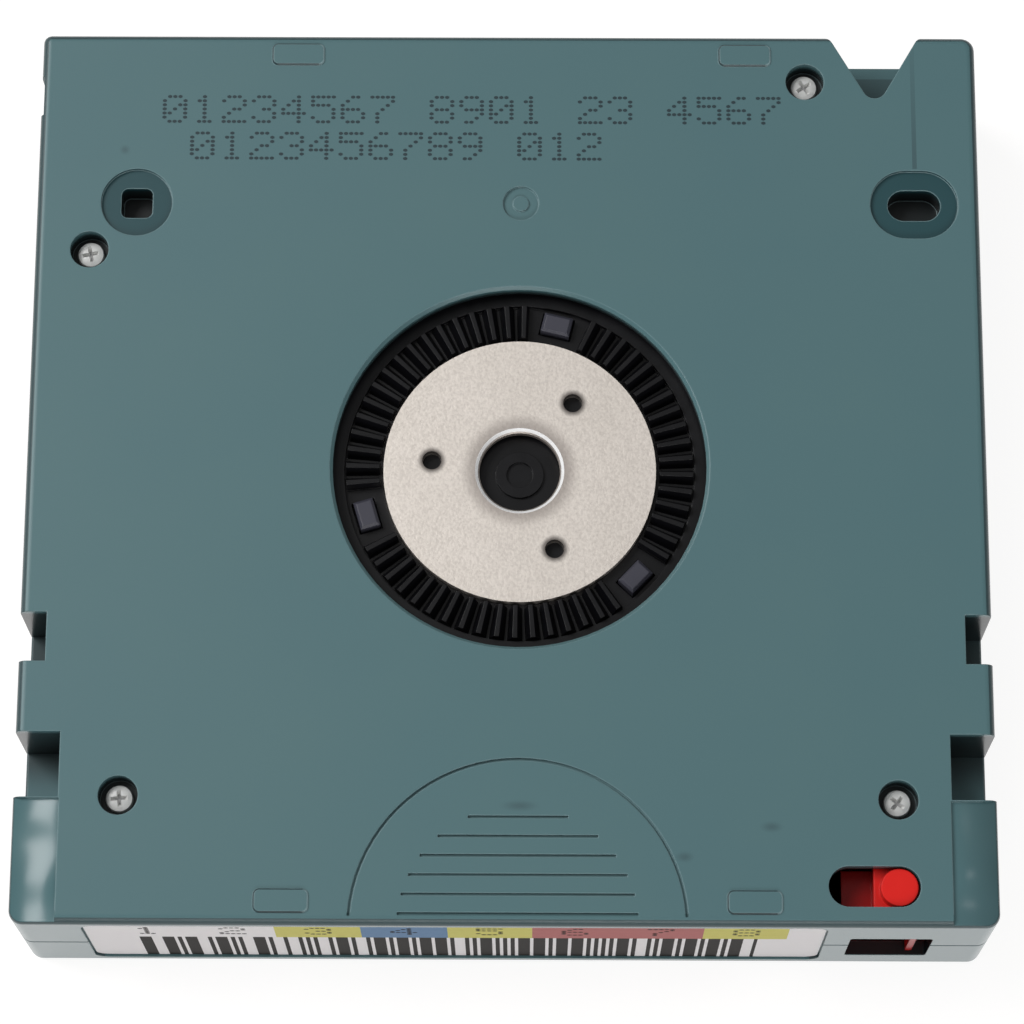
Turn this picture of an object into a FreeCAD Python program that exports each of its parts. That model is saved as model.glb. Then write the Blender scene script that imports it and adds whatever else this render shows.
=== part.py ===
import FreeCAD, Part
import math
import os
import Sketcher

# A half-inch data tape cartridge, lying on its top shell with the hub opening up.
# +X is to the right, +Y is the way it enters the drive, +Z is out through the bottom shell.
# The origin is the centre of the base. Lengths are millimetres and angles are degrees.

# ---------------------------------------------------------------- sizes

SIZES = (
    # the case
    ("case_width", 105.4),
    ("case_depth", 102.0),
    ("case_height", 21.5),
    ("seam_height", 10.5),
    ("seam_bevel", 0.2),
    ("wall", 1.6),
    ("corner_radius", 1.5),
    ("door_corner_radius", 0.9),
    ("face_round", 1.0),
    ("top_round", 0.7),
    ("inner_wall", 1.2),
    ("rib_thickness", 0.9),
    # clearances, and how far a rib is sunk into a wall or a cut runs past a face
    ("gap", 0.3),
    ("fit", 0.1),
    ("snug", 0.02),
    ("sink", 0.2),
    ("overrun", 1.0),
    # reel place, the opening round its gear and the guards round its flanges
    ("reel_x", 1.45),
    ("reel_clearance", 1.1),
    ("opening_clearance", 1.4),
    ("opening_chamfer", 0.35),
    ("guard_clearance", 1.0),
    ("guard_thickness", 1.0),
    ("guard_seam_gap", 1.65),
    # locators for the drive, from the case's edges
    ("locator_setback", 20.35),
    ("round_locator_inset", 11.2),
    ("round_locator_radius", 4.0),
    ("long_locator_inset", 7.3),
    ("long_locator_half", 0.875),
    ("long_locator_radius", 4.05),
    ("locator_recess", 0.45),
    ("locator_depth", 3.6),
    ("square_hole", 3.5),
    ("square_hole_radius", 0.8),
    ("long_hole", 5.9),
    ("long_hole_width", 3.6),
    # screws, from the case's edges
    ("front_left_screw_inset", 6.1),
    ("front_left_screw_setback", 26.0),
    ("front_right_screw_inset", 19.3),
    ("front_right_screw_setback", 5.65),
    ("rear_left_screw_inset", 11.3),
    ("rear_left_screw_setback", 13.9),
    ("rear_right_screw_inset", 10.6),
    ("rear_right_screw_setback", 13.7),
    ("counterbore_radius", 2.15),
    ("counterbore_depth", 2.6),
    ("boss_wall", 0.55),
    ("boss_floor", 0.5),
    ("screw_head_radius", 1.6),
    ("screw_head_height", 1.1),
    ("screw_radius", 1.0),
    ("screw_length", 15.4),
    ("screw_clearance", 0.15),
    # small marks on the hub side
    ("gate_radius", 2.0),
    ("gate_depth", 0.3),
    ("gate_nub_radius", 0.9),
    ("gate_nub_height", 0.18),
    ("rib_half_length", 2.95),
    ("rib_spacing", 25.2),
    ("rib_width", 2.6),
    ("rib_margin", 1.2),
    ("rib_rise", 0.25),
    ("rib_round", 0.7),
    ("rib_bevel", 0.15),
    ("grip_radius", 18.0),
    ("grip_lines", 6),
    ("grip_line_circle", 12.85),
    ("grip_line_first", 1.18),
    ("grip_line_pitch", 2.1),
    ("grip_line_width", 0.3),
    ("grip_line_depth", 0.3),
    ("grip_edge_start", 3.0),
    # V notch in the leading edge
    ("vee_inset", 11.45),
    ("vee_half_angle", 30.0),
    ("vee_depth", 7.6),
    ("vee_round", 1.35),
    ("vee_mouth_round", 1.6),
    ("vee_floor_rise", 1.5),
    # notches in both sides, from the rear wall
    ("small_notch_setback", 28.7),
    ("small_notch_length", 5.5),
    ("small_notch_depth", 2.95),
    ("grip_notch_setback", 13.7),
    ("grip_notch_length", 7.2),
    ("grip_notch_depth", 4.9),
    ("corner_step_width", 5.0),
    ("corner_step_length", 13.6),
    ("corner_step_depth", 0.4),
    # label and its pocket
    ("label_left_inset", 7.5),
    ("label_right_inset", 18.1),
    ("label_low", 1.7),
    ("label_top_gap", 1.6),
    ("label_round", 1.6),
    ("label_pocket_depth", 0.4),
    ("label_thickness", 0.12),
    ("label_margin", 0.15),
    # write protect slider, its slot and its window, along X from the slider's knob
    ("slot_inset", 13.325),
    ("slot_setback", 4.3),
    ("slot_half", 2.705),
    ("slot_radius", 2.2),
    ("knob_radius", 2.0),
    ("knob_play", 0.22),
    ("knob_sink", 0.45),
    ("window_before_knob", 4.76),
    ("window_after_knob", 4.14),
    ("window_low", 4.6),
    ("window_top_gap", 7.3),
    ("window_round", 0.5),
    ("slider_rib_after_knob", 1.89),
    ("slider_rib_width", 0.7),
    ("slider_rib_sink", 0.5),
    ("slider_block_before_knob", 2.66),
    ("slider_block_after_knob", 5.34),
    ("slider_plate_before_knob", 5.96),
    ("slider_plate_drop", 2.4),
    ("slider_width", 4.9),
    ("slider_foot_gap", 1.2),
    ("slider_travel", 5.3),
    # door, its window and its track
    ("door_window_setback", 6.0),
    ("door_window_length", 17.5),
    ("door_window_lip", 1.8),
    ("door_window_round", 0.6),
    ("door_edge_setback", 5.2),
    ("door_edge_length", 4.6),
    ("door_edge_depth", 0.35),
    ("door_thickness", 1.3),
    ("door_side_gap", 0.2),
    ("door_rear_lap", 1.2),
    ("door_front_lap", 1.6),
    ("door_play", 0.4),
    ("door_tab_inset", 1.8),
    ("door_tab_sink", 0.05),
    ("track_width", 0.7),
    ("track_height", 1.2),
    ("track_reach", 12.3),
    ("track_front_lap", 1.0),
    ("stop_thickness", 1.0),
    ("door_spring_room", 20.7),
    ("door_spring_rise", 0.25),
    ("door_spring_radius", 0.55),
    ("door_spring_wire", 0.3),
    ("door_spring_turns", 11),
    # leader pin, its seats and its spring
    ("pin_setback", 12.0),
    ("pin_track_gap", 0.4),
    ("pin_radius", 1.1),
    ("pin_disc_radius", 2.3),
    ("pin_disc_thickness", 1.3),
    ("pin_seat_play", 0.15),
    ("pin_seat_height", 1.7),
    ("pin_seat_wall", 0.95),
    ("clip_wall", 0.75),
    ("clip_mouth", 1.2),
    ("clip_mouth_start", 0.4),
    ("spring_strip", 0.25),
    ("spring_strip_room", 0.8),
    ("pin_spring_width", 1.0),
    ("pin_spring_gap", 0.35),
    ("pin_spring_reach", 0.6),
    ("spring_post_height", 5.5),
    ("spring_post_lap", 0.25),
    ("leader_start", 0.3),
    ("leader_thickness", 0.2),
    # reel
    ("reel_turn", 76.6),
    ("flange_thickness", 1.1),
    ("flange_gap", 0.9),
    ("top_flange_thickness", 1.2),
    ("hub_land_gap", 0.15),
    ("hub_land_clearance", 0.4),
    ("hub_land_width", 1.1),
    ("hub_wall", 1.8),
    ("spigot_step", 0.8),
    ("hub_floor_thickness", 1.4),
    ("tape_width", 12.65),
    ("tape_play", 0.55),
    ("tape_margin", 2.3),
    # drive plate, the well under it and the drive teeth
    ("plate_radius", 15.0),
    ("plate_thickness", 1.2),
    ("plate_bore", 4.45),
    ("plate_rim", 0.45),
    ("plate_hole_radius", 1.05),
    ("plate_hole_circle", 9.75),
    ("plate_hole_turn", -23.3),
    ("well_clearance", 0.3),
    ("well_depth", 0.75),
    ("well_ring_radius", 2.65),
    ("well_ring_height", 0.35),
    ("well_dimple_radius", 1.45),
    ("teeth", 60),
    ("tooth_gap", 0.4),
    ("tooth_length", 3.7),
    ("tooth_height", 1.4),
    ("tooth_root_share", 0.8833),
    ("tooth_tip_share", 0.2667),
    ("collar_gap", 0.2),
    ("pocket_angle", 10.4),
    # locking teeth, brake and release spider
    ("lock_outer_step", 0.4),
    ("lock_inner_step", 0.1),
    ("lock_inset", 0.2),
    ("lock_rib_height", 1.4),
    ("lock_height", 1.3),
    ("lock_root_share", 0.6),
    ("lock_tip_share", 0.2667),
    ("lock_gap_angle", 23.0),
    ("brake_lip", 0.2),
    ("brake_thickness", 1.8),
    ("brake_travel", 1.8),
    ("button_radius", 2.6),
    ("button_rise", 0.7),
    ("button_gap", 0.08),
    ("sleeve_wall", 1.2),
    ("sleeve_roof_thickness", 2.2),
    ("sleeve_foot_gap", 2.1),
    ("post_radius", 4.1),
    ("post_bore", 2.4),
    ("post_end_gap", 0.7),
    ("key_reach", 5.0),
    ("key_width", 1.3),
    ("key_play", 0.08),
    ("brake_spring_gap", 1.3),
    ("brake_spring_wire", 1.0),
    ("brake_spring_turns", 4.5),
    ("spider_thickness", 1.2),
    ("spider_round", 2.0),
    ("spider_step", 0.5),
    ("foot_inset", 1.6),
    ("foot_length", 3.2),
    ("foot_width", 2.2),
    ("foot_play", 0.2),
    ("foot_bevel", 0.3),
    # memory board, from the left and the rear wall
    ("board_inset", 5.9),
    ("board_wall_gap", 0.7),
    ("board_length", 16.4),
    ("board_width", 9.4),
    ("board_thickness", 0.8),
    ("board_tilt", 45.0),
    ("board_rib_width", 1.2),
    ("board_prop_share", 0.3),
    ("chip_radius", 2.2),
    ("chip_height", 0.7),
    # insertion arrow in the top shell
    ("arrow_setback", 13.0),
    ("arrow_half", 4.0),
    ("arrow_length", 6.0),
    ("arrow_depth", 0.3),
)

doc = FreeCAD.newDocument("tape_cartridge")
sheet = doc.addObject("Spreadsheet::Sheet", "Sizes")


class Size:
    """A number that keeps the sheet expression it is worked out from."""

    def __init__(self, value, text=None):
        self.value = float(value)
        self.text = text or "(%r)" % float(value)

    def __add__(self, other):
        other = size(other)
        return Size(self.value + other.value, "(%s + %s)" % (self.text, other.text))

    def __sub__(self, other):
        other = size(other)
        return Size(self.value - other.value, "(%s - %s)" % (self.text, other.text))

    def __mul__(self, other):
        other = size(other)
        return Size(self.value * other.value, "(%s * %s)" % (self.text, other.text))

    def __truediv__(self, other):
        other = size(other)
        return Size(self.value / other.value, "(%s / %s)" % (self.text, other.text))

    def __radd__(self, other):
        return size(other) + self

    def __rsub__(self, other):
        return size(other) - self

    def __rmul__(self, other):
        return size(other) * self

    def __neg__(self):
        return size(0) - self


def size(number):
    """A Size as it is, or a plain number as a Size."""
    return number if isinstance(number, Size) else Size(number)


def cos(angle):
    angle = size(angle)
    return Size(math.cos(math.radians(angle.value)), "cos(%s)" % angle.text)


def sin(angle):
    angle = size(angle)
    return Size(math.sin(math.radians(angle.value)), "sin(%s)" % angle.text)


def tan(angle):
    angle = size(angle)
    return Size(math.tan(math.radians(angle.value)), "tan(%s)" % angle.text)


def root(number):
    return Size(math.sqrt(number.value), "sqrt(%s)" % number.text)


def least(first, second):
    return Size(min(first.value, second.value), "min(%s; %s)" % (first.text, second.text))


class Sheet:
    """The driving sizes by name."""


s = Sheet()


def write_size(alias, number, content):
    """Put a size in the next row of the sheet, and make it known by its name."""
    row = len(vars(s)) + 1
    sheet.set("A%d" % row, alias)
    sheet.set("B%d" % row, content)
    sheet.setAlias("B%d" % row, alias)
    setattr(s, alias, Size(number, "Sizes.%s" % alias))


def follows(alias, result):
    """A size that follows from others, written in the sheet as its formula."""
    write_size(alias, result.value, "=" + result.text.replace("Sizes.", ""))


for name, number in SIZES:
    write_size(name, number, str(number))

# ---------------------------------------------------------------- tools


class Drawing:
    """A sketch on an origin plane of a body, with every point of it bound to the sheet."""

    def __init__(self, part, name, plane="XY_Plane", level=0.0):
        self.sketch = part.newObject("Sketcher::SketchObject", part.Name + "_" + name)
        support = [item for item in part.Origin.OriginFeatures if item.Role == plane]
        self.sketch.AttachmentSupport = [(support[0], "")]
        self.sketch.MapMode = "FlatFace"
        self.sketch.setExpression("AttachmentOffset.Base.z", size(level).text)

    def bind(self, kind, places, number):
        """Add a constraint with a number, and tie the number to the sheet."""
        number = size(number)
        constraint = Sketcher.Constraint(kind, *places, number.value)
        index = self.sketch.addConstraint(constraint)
        self.sketch.setExpression("Constraints[%d]" % index, number.text)

    def fix(self, edge, end, x, y):
        self.bind("DistanceX", (-1, 1, edge, end), x)
        self.bind("DistanceY", (-1, 1, edge, end), y)

    def circle(self, x, y, radius):
        x, y, radius = size(x), size(y), size(radius)
        centre = FreeCAD.Vector(x.value, y.value, 0)
        edge = self.sketch.addGeometry(Part.Circle(centre, FreeCAD.Vector(0, 0, 1), radius.value))
        self.fix(edge, 3, x, y)
        self.bind("Radius", (edge,), radius)
        return self

    def loop(self, corners):
        """A closed outline. A corner is x, y, and for an arc to the next corner a radius and a side.
        The side is 1 where the arc turns left and -1 where it turns right."""
        points = [(size(corner[0]), size(corner[1])) for corner in corners]
        first = self.sketch.GeometryCount
        ends = []
        for index, corner in enumerate(corners):
            start = points[index]
            end = points[(index + 1) % len(corners)]
            a = FreeCAD.Vector(start[0].value, start[1].value, 0)
            b = FreeCAD.Vector(end[0].value, end[1].value, 0)
            if len(corner) == 2:
                self.sketch.addGeometry(Part.LineSegment(a, b))
                ends.append((1, 2))
                continue
            radius, side = size(corner[2]), corner[3]
            half = (b - a) * 0.5
            rise = math.sqrt(max(radius.value ** 2 - half.Length ** 2, 0.0))
            across = FreeCAD.Vector(-half.y, half.x, 0).normalize() * rise * side
            centre = a + half + across
            begin, finish = (a, b) if side > 0 else (b, a)
            turns = [math.atan2(p.y - centre.y, p.x - centre.x) for p in (begin, finish)]
            ring = Part.Circle(centre, FreeCAD.Vector(0, 0, 1), radius.value)
            edge = self.sketch.addGeometry(Part.ArcOfCircle(ring, turns[0], turns[1]))
            self.bind("Radius", (edge,), radius)
            ends.append((1, 2) if side > 0 else (2, 1))
        for index, point in enumerate(points):
            before = (index - 1) % len(points)
            joint = (first + before, ends[before][1], first + index, ends[index][0])
            self.sketch.addConstraint(Sketcher.Constraint("Coincident", *joint))
            self.fix(first + index, ends[index][0], *point)
        return self

    def box(self, left, right, low, high):
        return self.loop([(left, low), (right, low), (right, high), (left, high)])

    def round_box(self, left, right, low, high, radius):
        left, right, low, high = size(left), size(right), size(low), size(high)
        return self.loop([
            (left + radius, low), (right - radius, low, radius, 1),
            (right, low + radius), (right, high - radius, radius, 1),
            (right - radius, high), (left + radius, high, radius, 1),
            (left, high - radius), (left, low + radius, radius, 1)])

    def bar(self, x, y, half_length, half_width, turn):
        """A straight bar about its middle, turned from the X axis."""
        corners = []
        for along, across in ((-1, -1), (1, -1), (1, 1), (-1, 1)):
            corners.append((x + along * half_length * cos(turn) - across * half_width * sin(turn),
                            y + along * half_length * sin(turn) + across * half_width * cos(turn)))
        return self.loop(corners)

    def stadium(self, x, y, half, radius):
        """A slot along X, from centre to centre twice half, each end in two quarter turns."""
        x, y = size(x), size(y)
        return self.loop([
            (x - half, y - radius), (x + half, y - radius, radius, 1), (x + half + radius, y, radius, 1),
            (x + half, y + radius), (x - half, y + radius, radius, 1), (x - half - radius, y, radius, 1)])

    def sector(self, x, y, inner, outer, start, finish):
        """Part of a ring, less than half a turn, from the start angle to the finish angle."""
        x, y = size(x), size(y)
        return self.loop([
            (x + inner * cos(start), y + inner * sin(start)),
            (x + outer * cos(start), y + outer * sin(start), outer, 1),
            (x + outer * cos(finish), y + outer * sin(finish)),
            (x + inner * cos(finish), y + inner * sin(finish), inner, -1)])


def new_body(name, x=0.0, y=0.0, turn=0.0):
    """An empty body with its own placement."""
    part = doc.addObject("PartDesign::Body", name)
    part.Label = name
    turn = size(turn)
    spin = FreeCAD.Rotation(FreeCAD.Vector(0, 0, 1), turn.value)
    part.Placement = FreeCAD.Placement(FreeCAD.Vector(0, 0, 0), spin)
    part.setExpression("Placement.Base.x", size(x).text)
    part.setExpression("Placement.Base.y", size(y).text)
    if turn.value:
        part.setExpression("Placement.Rotation.Angle", turn.text)
    return part


def axis_of(part, role):
    return [item for item in part.Origin.OriginFeatures if item.Role == role][0]


def settle(part, feature, grows):
    """Recompute, and stop the build if the feature left the solid as it was."""
    before = 0.0 if feature.BaseFeature is None else feature.BaseFeature.Shape.Volume
    doc.recompute()
    change = feature.Shape.Volume - before
    if (change if grows else -change) < 1e-6:
        raise ValueError("%s changes nothing in %s" % (feature.Name, part.Name))
    return feature


def pad(part, drawing, length, down=False):
    """Add material from the drawing up along its normal, or down from it."""
    feature = part.newObject("PartDesign::Pad", drawing.sketch.Name + "_pad")
    feature.Profile = drawing.sketch
    feature.setExpression("Length", size(length).text)
    feature.Reversed = down
    return settle(part, feature, True)


def cut(part, drawing, depth, up=False):
    """Take material away below the drawing, or above it."""
    feature = part.newObject("PartDesign::Pocket", drawing.sketch.Name + "_cut")
    feature.Profile = drawing.sketch
    feature.setExpression("Length", size(depth).text)
    feature.Reversed = up
    return settle(part, feature, False)


def turned(part, drawing):
    """A solid of revolution about the body's Z axis."""
    feature = part.newObject("PartDesign::Revolution", drawing.sketch.Name + "_turned")
    feature.Profile = drawing.sketch
    feature.ReferenceAxis = (drawing.sketch, ["V_Axis"])
    feature.Angle = 360
    return settle(part, feature, True)


def round_edges(part, name, radius, chosen):
    """Round the edges of the solid that the test chooses."""
    tip = part.Tip
    names = ["Edge%d" % (i + 1) for i, edge in enumerate(tip.Shape.Edges) if chosen(edge)]
    feature = part.newObject("PartDesign::Fillet", part.Name + "_" + name)
    feature.Base = (tip, names)
    feature.setExpression("Radius", size(radius).text)
    doc.recompute()
    return feature


def bevel_edges(part, name, width, chosen):
    """Chamfer the edges of the solid that the test chooses."""
    tip = part.Tip
    names = ["Edge%d" % (i + 1) for i, edge in enumerate(tip.Shape.Edges) if chosen(edge)]
    feature = part.newObject("PartDesign::Chamfer", part.Name + "_" + name)
    feature.Base = (tip, names)
    feature.setExpression("Size", size(width).text)
    doc.recompute()
    return feature


def ring_of(part, feature, count):
    """Repeat a feature round the body's Z axis."""
    pattern = part.newObject("PartDesign::PolarPattern", feature.Name + "_ring")
    pattern.Originals = [feature]
    pattern.Axis = (axis_of(part, "Z_Axis"), [""])
    pattern.Angle = 360
    pattern.setExpression("Occurrences", size(count).text)
    part.Tip = pattern
    doc.recompute()
    return pattern


def radial_tooth(part, name, inner, outer, low, high, low_angle, high_angle):
    """One tooth along X whose flanks point to the axis: a trapezoid that widens outward."""
    ends = []
    for mark, radius in (("inner", inner), ("outer", outer)):
        drawing = Drawing(part, name + "_" + mark, "YZ_Plane", radius)
        drawing.loop([
            (-(radius * tan(low_angle)), low), (radius * tan(low_angle), low),
            (radius * tan(high_angle), high), (-(radius * tan(high_angle)), high)])
        ends.append(drawing.sketch)
    doc.recompute()
    loft = part.newObject("PartDesign::AdditiveLoft", part.Name + "_" + name)
    loft.Profile = ends[0]
    loft.Sections = [ends[1]]
    doc.recompute()
    return loft


def level_edge(height):
    """A test for edges that lie at one height."""
    def chosen(edge):
        box = edge.BoundBox
        return abs(box.ZMin - height.value) < 1e-4 and abs(box.ZMax - height.value) < 1e-4
    return chosen


def upright_at(x, y):
    """A test for straight edges parallel to Z through a point of the plan."""
    def chosen(edge):
        box = edge.BoundBox
        straight = box.ZLength > 0.1 and box.XLength < 1e-4 and box.YLength < 1e-4
        return straight and abs(box.XMin - x.value) < 1e-3 and abs(box.YMin - y.value) < 1e-3
    return chosen


# ---------------------------------------------------------------- places that pieces share

follows("half_width", s.case_width / 2)
follows("half_depth", s.case_depth / 2)
follows("inner_half_width", s.half_width - s.wall)
follows("inner_half_depth", s.half_depth - s.wall)
follows("top_inside", s.wall)
follows("bottom_inside", s.case_height - s.wall)
follows("top_room", s.seam_height - s.top_inside)
follows("bottom_room", s.bottom_inside - s.seam_height)

# along Z, down from the bottom shell: gear, hub, spider and brake
follows("tooth_top", s.bottom_inside - s.fit)
follows("foot_top", s.tooth_top - s.fit)
follows("gear_root", s.tooth_top - s.tooth_height)
follows("plate_low", s.gear_root - s.fit)
follows("well_floor", s.plate_low - s.well_depth)
follows("well_ring_top", s.well_floor + s.well_ring_height)
follows("hub_floor_low", s.gear_root - s.hub_floor_thickness)
follows("spider_low", s.hub_floor_low - s.fit - s.spider_thickness)
follows("lock_root", s.hub_floor_low - s.lock_rib_height)
follows("lock_tip", s.lock_root - s.lock_height)
follows("brake_button", s.spider_low - s.button_gap)
follows("brake_tooth_top", s.lock_root - s.fit)
follows("brake_face", s.lock_tip - s.fit)
follows("brake_low", s.brake_face - s.brake_thickness)
follows("sleeve_roof", s.brake_face - s.sleeve_roof_thickness)
follows("sleeve_low", s.top_inside + s.brake_travel + s.sleeve_foot_gap)
follows("post_top", s.sleeve_roof - s.brake_travel - s.post_end_gap)
# the flanges and the tape between them
follows("flange_top", s.bottom_inside - s.flange_gap)
follows("bottom_flange_low", s.flange_top - s.flange_thickness)
follows("top_flange_top", s.bottom_flange_low - s.tape_width - s.tape_play)
follows("top_flange_low", s.top_flange_top - s.top_flange_thickness)
follows("tape_low", s.top_flange_top + s.tape_play / 2)
follows("tape_high", s.tape_low + s.tape_width)

# round the reel's axis, outward from the drive plate
follows("tooth_inner", s.plate_radius + s.tooth_gap)
follows("tooth_outer", s.tooth_inner + s.tooth_length)
follows("collar_inner", s.tooth_outer + s.collar_gap)
follows("opening_radius", s.tooth_outer + s.opening_clearance)
follows("hub_land_inner", s.opening_radius + s.hub_land_clearance)
follows("hub_radius", s.hub_land_inner + s.hub_land_width)
follows("hub_bore", s.hub_radius - s.hub_wall)
follows("hub_spigot", s.hub_radius - s.spigot_step)
follows("lock_inner", s.tooth_inner - s.lock_inner_step)
follows("lock_outer", s.tooth_outer - s.lock_outer_step)
follows("brake_radius", s.lock_outer + s.brake_lip)
follows("foot_circle", s.tooth_outer - s.foot_inset)
follows("spider_corner", s.foot_circle - s.spider_step)
follows("well_radius", s.plate_bore + s.well_clearance)
follows("sleeve_radius", s.key_reach + s.sleeve_wall)
follows("sleeve_bore", s.post_radius + s.key_play)
follows("brake_spring_radius", s.sleeve_radius + s.brake_spring_gap + s.brake_spring_wire / 2)
follows("flange_radius", least(s.inner_half_depth, s.inner_half_width - s.reel_x) - s.reel_clearance)
follows("tape_radius", s.flange_radius - s.tape_margin)
follows("guard_inner", s.flange_radius + s.guard_clearance)
follows("guard_outer", s.guard_inner + s.guard_thickness)
follows("half_pitch", size(180) / s.teeth)
follows("brake_turn", s.reel_turn + s.half_pitch)

# screws and locators
follows("boss_radius", s.counterbore_radius + s.boss_wall)
follows("front_left_screw_x", s.front_left_screw_inset - s.half_width)
follows("front_left_screw_y", s.half_depth - s.front_left_screw_setback)
follows("front_right_screw_x", s.half_width - s.front_right_screw_inset)
follows("front_right_screw_y", s.half_depth - s.front_right_screw_setback)
follows("rear_left_screw_x", s.rear_left_screw_inset - s.half_width)
follows("rear_left_screw_y", s.rear_left_screw_setback - s.half_depth)
follows("rear_right_screw_x", s.half_width - s.rear_right_screw_inset)
follows("rear_right_screw_y", s.rear_right_screw_setback - s.half_depth)
screw_places = (
    (s.front_left_screw_x, s.front_left_screw_y),
    (s.front_right_screw_x, s.front_right_screw_y),
    (s.rear_left_screw_x, s.rear_left_screw_y),
    (s.rear_right_screw_x, s.rear_right_screw_y),
)
follows("locator_y", s.half_depth - s.locator_setback)
follows("round_locator_x", s.half_width - s.round_locator_inset)
follows("long_locator_x", s.half_width - s.long_locator_inset)

# notches and label
follows("vee_x", s.half_width - s.vee_inset)
follows("vee_centre", s.half_depth - s.vee_depth + s.vee_round)
follows("vee_apex", s.vee_centre - s.vee_round / sin(s.vee_half_angle))
follows("vee_mouth", s.half_depth + s.fit)
follows("vee_floor", s.seam_height + s.vee_floor_rise)
follows("small_notch_rear", s.small_notch_setback - s.half_depth)
follows("small_notch_front", s.small_notch_rear + s.small_notch_length)
follows("grip_notch_rear", s.grip_notch_setback - s.half_depth)
follows("grip_notch_front", s.grip_notch_rear + s.grip_notch_length)
follows("corner_step_front", s.corner_step_length - s.half_depth)
follows("label_left", s.label_left_inset - s.half_width)
follows("label_right", s.half_width - s.label_right_inset)
follows("label_high", s.case_height - s.label_top_gap)
follows("arrow_y", s.half_depth - s.arrow_setback)

# the slider, from its knob at the right end of the slot
follows("slot_x", s.half_width - s.slot_inset)
follows("slot_y", s.slot_setback - s.half_depth)
follows("knob_x", s.slot_x + s.slot_half + s.slot_radius - s.knob_radius - s.knob_play)
follows("window_left", s.knob_x - s.window_before_knob)
follows("window_right", s.knob_x + s.window_after_knob)
follows("window_high", s.case_height - s.window_top_gap)
follows("slider_rib_left", s.knob_x + s.slider_rib_after_knob)
follows("slider_block_left", s.knob_x - s.slider_block_before_knob)
follows("slider_block_right", s.knob_x + s.slider_block_after_knob)
follows("slider_plate_left", s.knob_x - s.slider_plate_before_knob)

# the door, and the leader pin behind it
follows("door_outer", s.door_side_gap - s.inner_half_width)
follows("door_inner", s.door_outer + s.door_thickness)
follows("door_window_front", s.half_depth - s.door_window_setback)
follows("door_window_rear", s.door_window_front - s.door_window_length)
follows("door_window_low", s.top_inside + s.door_window_lip)
follows("door_window_high", s.bottom_inside - s.door_window_lip)
follows("door_edge_front", s.half_depth - s.door_edge_setback)
follows("door_edge_rear", s.door_edge_front - s.door_edge_length)
follows("door_rear", s.door_window_rear - s.door_rear_lap)
follows("door_front", s.door_window_front + s.door_front_lap)
follows("door_tab_rear", s.door_edge_rear + s.fit)
follows("door_tab_front", s.door_window_front - s.gap)
follows("door_tab_low", s.door_window_low + s.door_tab_inset)
follows("door_tab_high", s.door_window_high - s.door_tab_inset)
follows("door_spring_end", s.door_rear - s.door_spring_room)
follows("track_left", s.door_inner + 2 * s.fit)
follows("track_right", s.track_left + s.track_width)
follows("track_rear", s.door_rear - s.track_reach)
follows("pin_x", s.track_right + s.pin_track_gap + s.pin_disc_radius)
follows("pin_y", s.half_depth - s.pin_setback)
follows("pin_seat_inner", s.pin_disc_radius + s.pin_seat_play)
follows("pin_seat_outer", s.pin_seat_inner + s.pin_seat_wall)
follows("clip_radius", s.pin_radius + s.clip_wall)
follows("spring_back", s.pin_x + s.pin_seat_outer + s.spring_strip_room + s.spring_strip)

# the memory board
follows("board_left", s.board_inset - s.half_width)
follows("board_rear", s.board_wall_gap - s.inner_half_depth)
follows("board_low", s.seam_height + s.fit)
doc.recompute()


def case_outline(drawing):
    return drawing.box(-s.half_width, s.half_width, -s.half_depth, s.half_depth)


def round_case_corners(part):
    """The plan corners: the one beside the door is sharper than the rest."""
    round_edges(part, "door_corner", s.door_corner_radius, upright_at(-s.half_width, s.half_depth))
    for name, x, y in (("front_corner", 1, 1), ("left_rear_corner", -1, -1), ("right_rear_corner", 1, -1)):
        round_edges(part, name, s.corner_radius, upright_at(s.half_width * x, s.half_depth * y))


def mirrored_box(drawing, near, far, low, high):
    """The same box at the left and at the right side."""
    drawing.box(near, far, low, high)
    drawing.box(-far, -near, low, high)
    return drawing


def pin_seat(drawing):
    """A U round the end of the leader pin, open to the door window."""
    inner = s.pin_seat_inner
    outer = s.pin_seat_outer
    mouth = s.pin_x - s.pin_disc_radius - s.fit
    return drawing.loop([
        (mouth, s.pin_y + inner), (s.pin_x, s.pin_y + inner, inner, -1),
        (s.pin_x + inner, s.pin_y, inner, -1), (s.pin_x, s.pin_y - inner), (mouth, s.pin_y - inner),
        (mouth, s.pin_y - outer), (s.pin_x, s.pin_y - outer, outer, 1),
        (s.pin_x + outer, s.pin_y, outer, 1), (s.pin_x, s.pin_y + outer), (mouth, s.pin_y + outer)])


def inside_ribs(part, level, height, down):
    """What both shells carry inside: reel guards, the pin seat, the door track and spring stop."""
    for mark, start in (("front_guard", 0.0), ("right_guard", -90.0), ("rear_guard", 180.0)):
        guard = Drawing(part, mark, level=level)
        guard.sector(s.reel_x, 0, s.guard_inner, s.guard_outer, start, start + 90.0)
        pad(part, guard, height - s.guard_seam_gap, down)
    seat = Drawing(part, "pin_seat", level=level)
    pad(part, pin_seat(seat), s.pin_seat_height, down)
    track = Drawing(part, "door_track", level=level)
    track.box(s.track_left, s.track_right, s.track_rear, s.door_front + s.track_front_lap)
    pad(part, track, s.track_height, down)
    stop = Drawing(part, "spring_stop", level=level)
    stop.box(-s.inner_half_width - s.sink, s.door_inner,
             s.door_spring_end - s.stop_thickness, s.door_spring_end)
    pad(part, stop, height, down)
    spring_post = Drawing(part, "pin_spring_post", level=level)
    strip_front = s.pin_y - s.pin_radius - s.pin_spring_gap
    spring_post.box(s.spring_back + s.fit, s.spring_back + s.rib_thickness,
                    strip_front - s.pin_spring_width - s.spring_post_lap, strip_front + s.spring_post_lap)
    pad(part, spring_post, s.spring_post_height, down)


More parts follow.
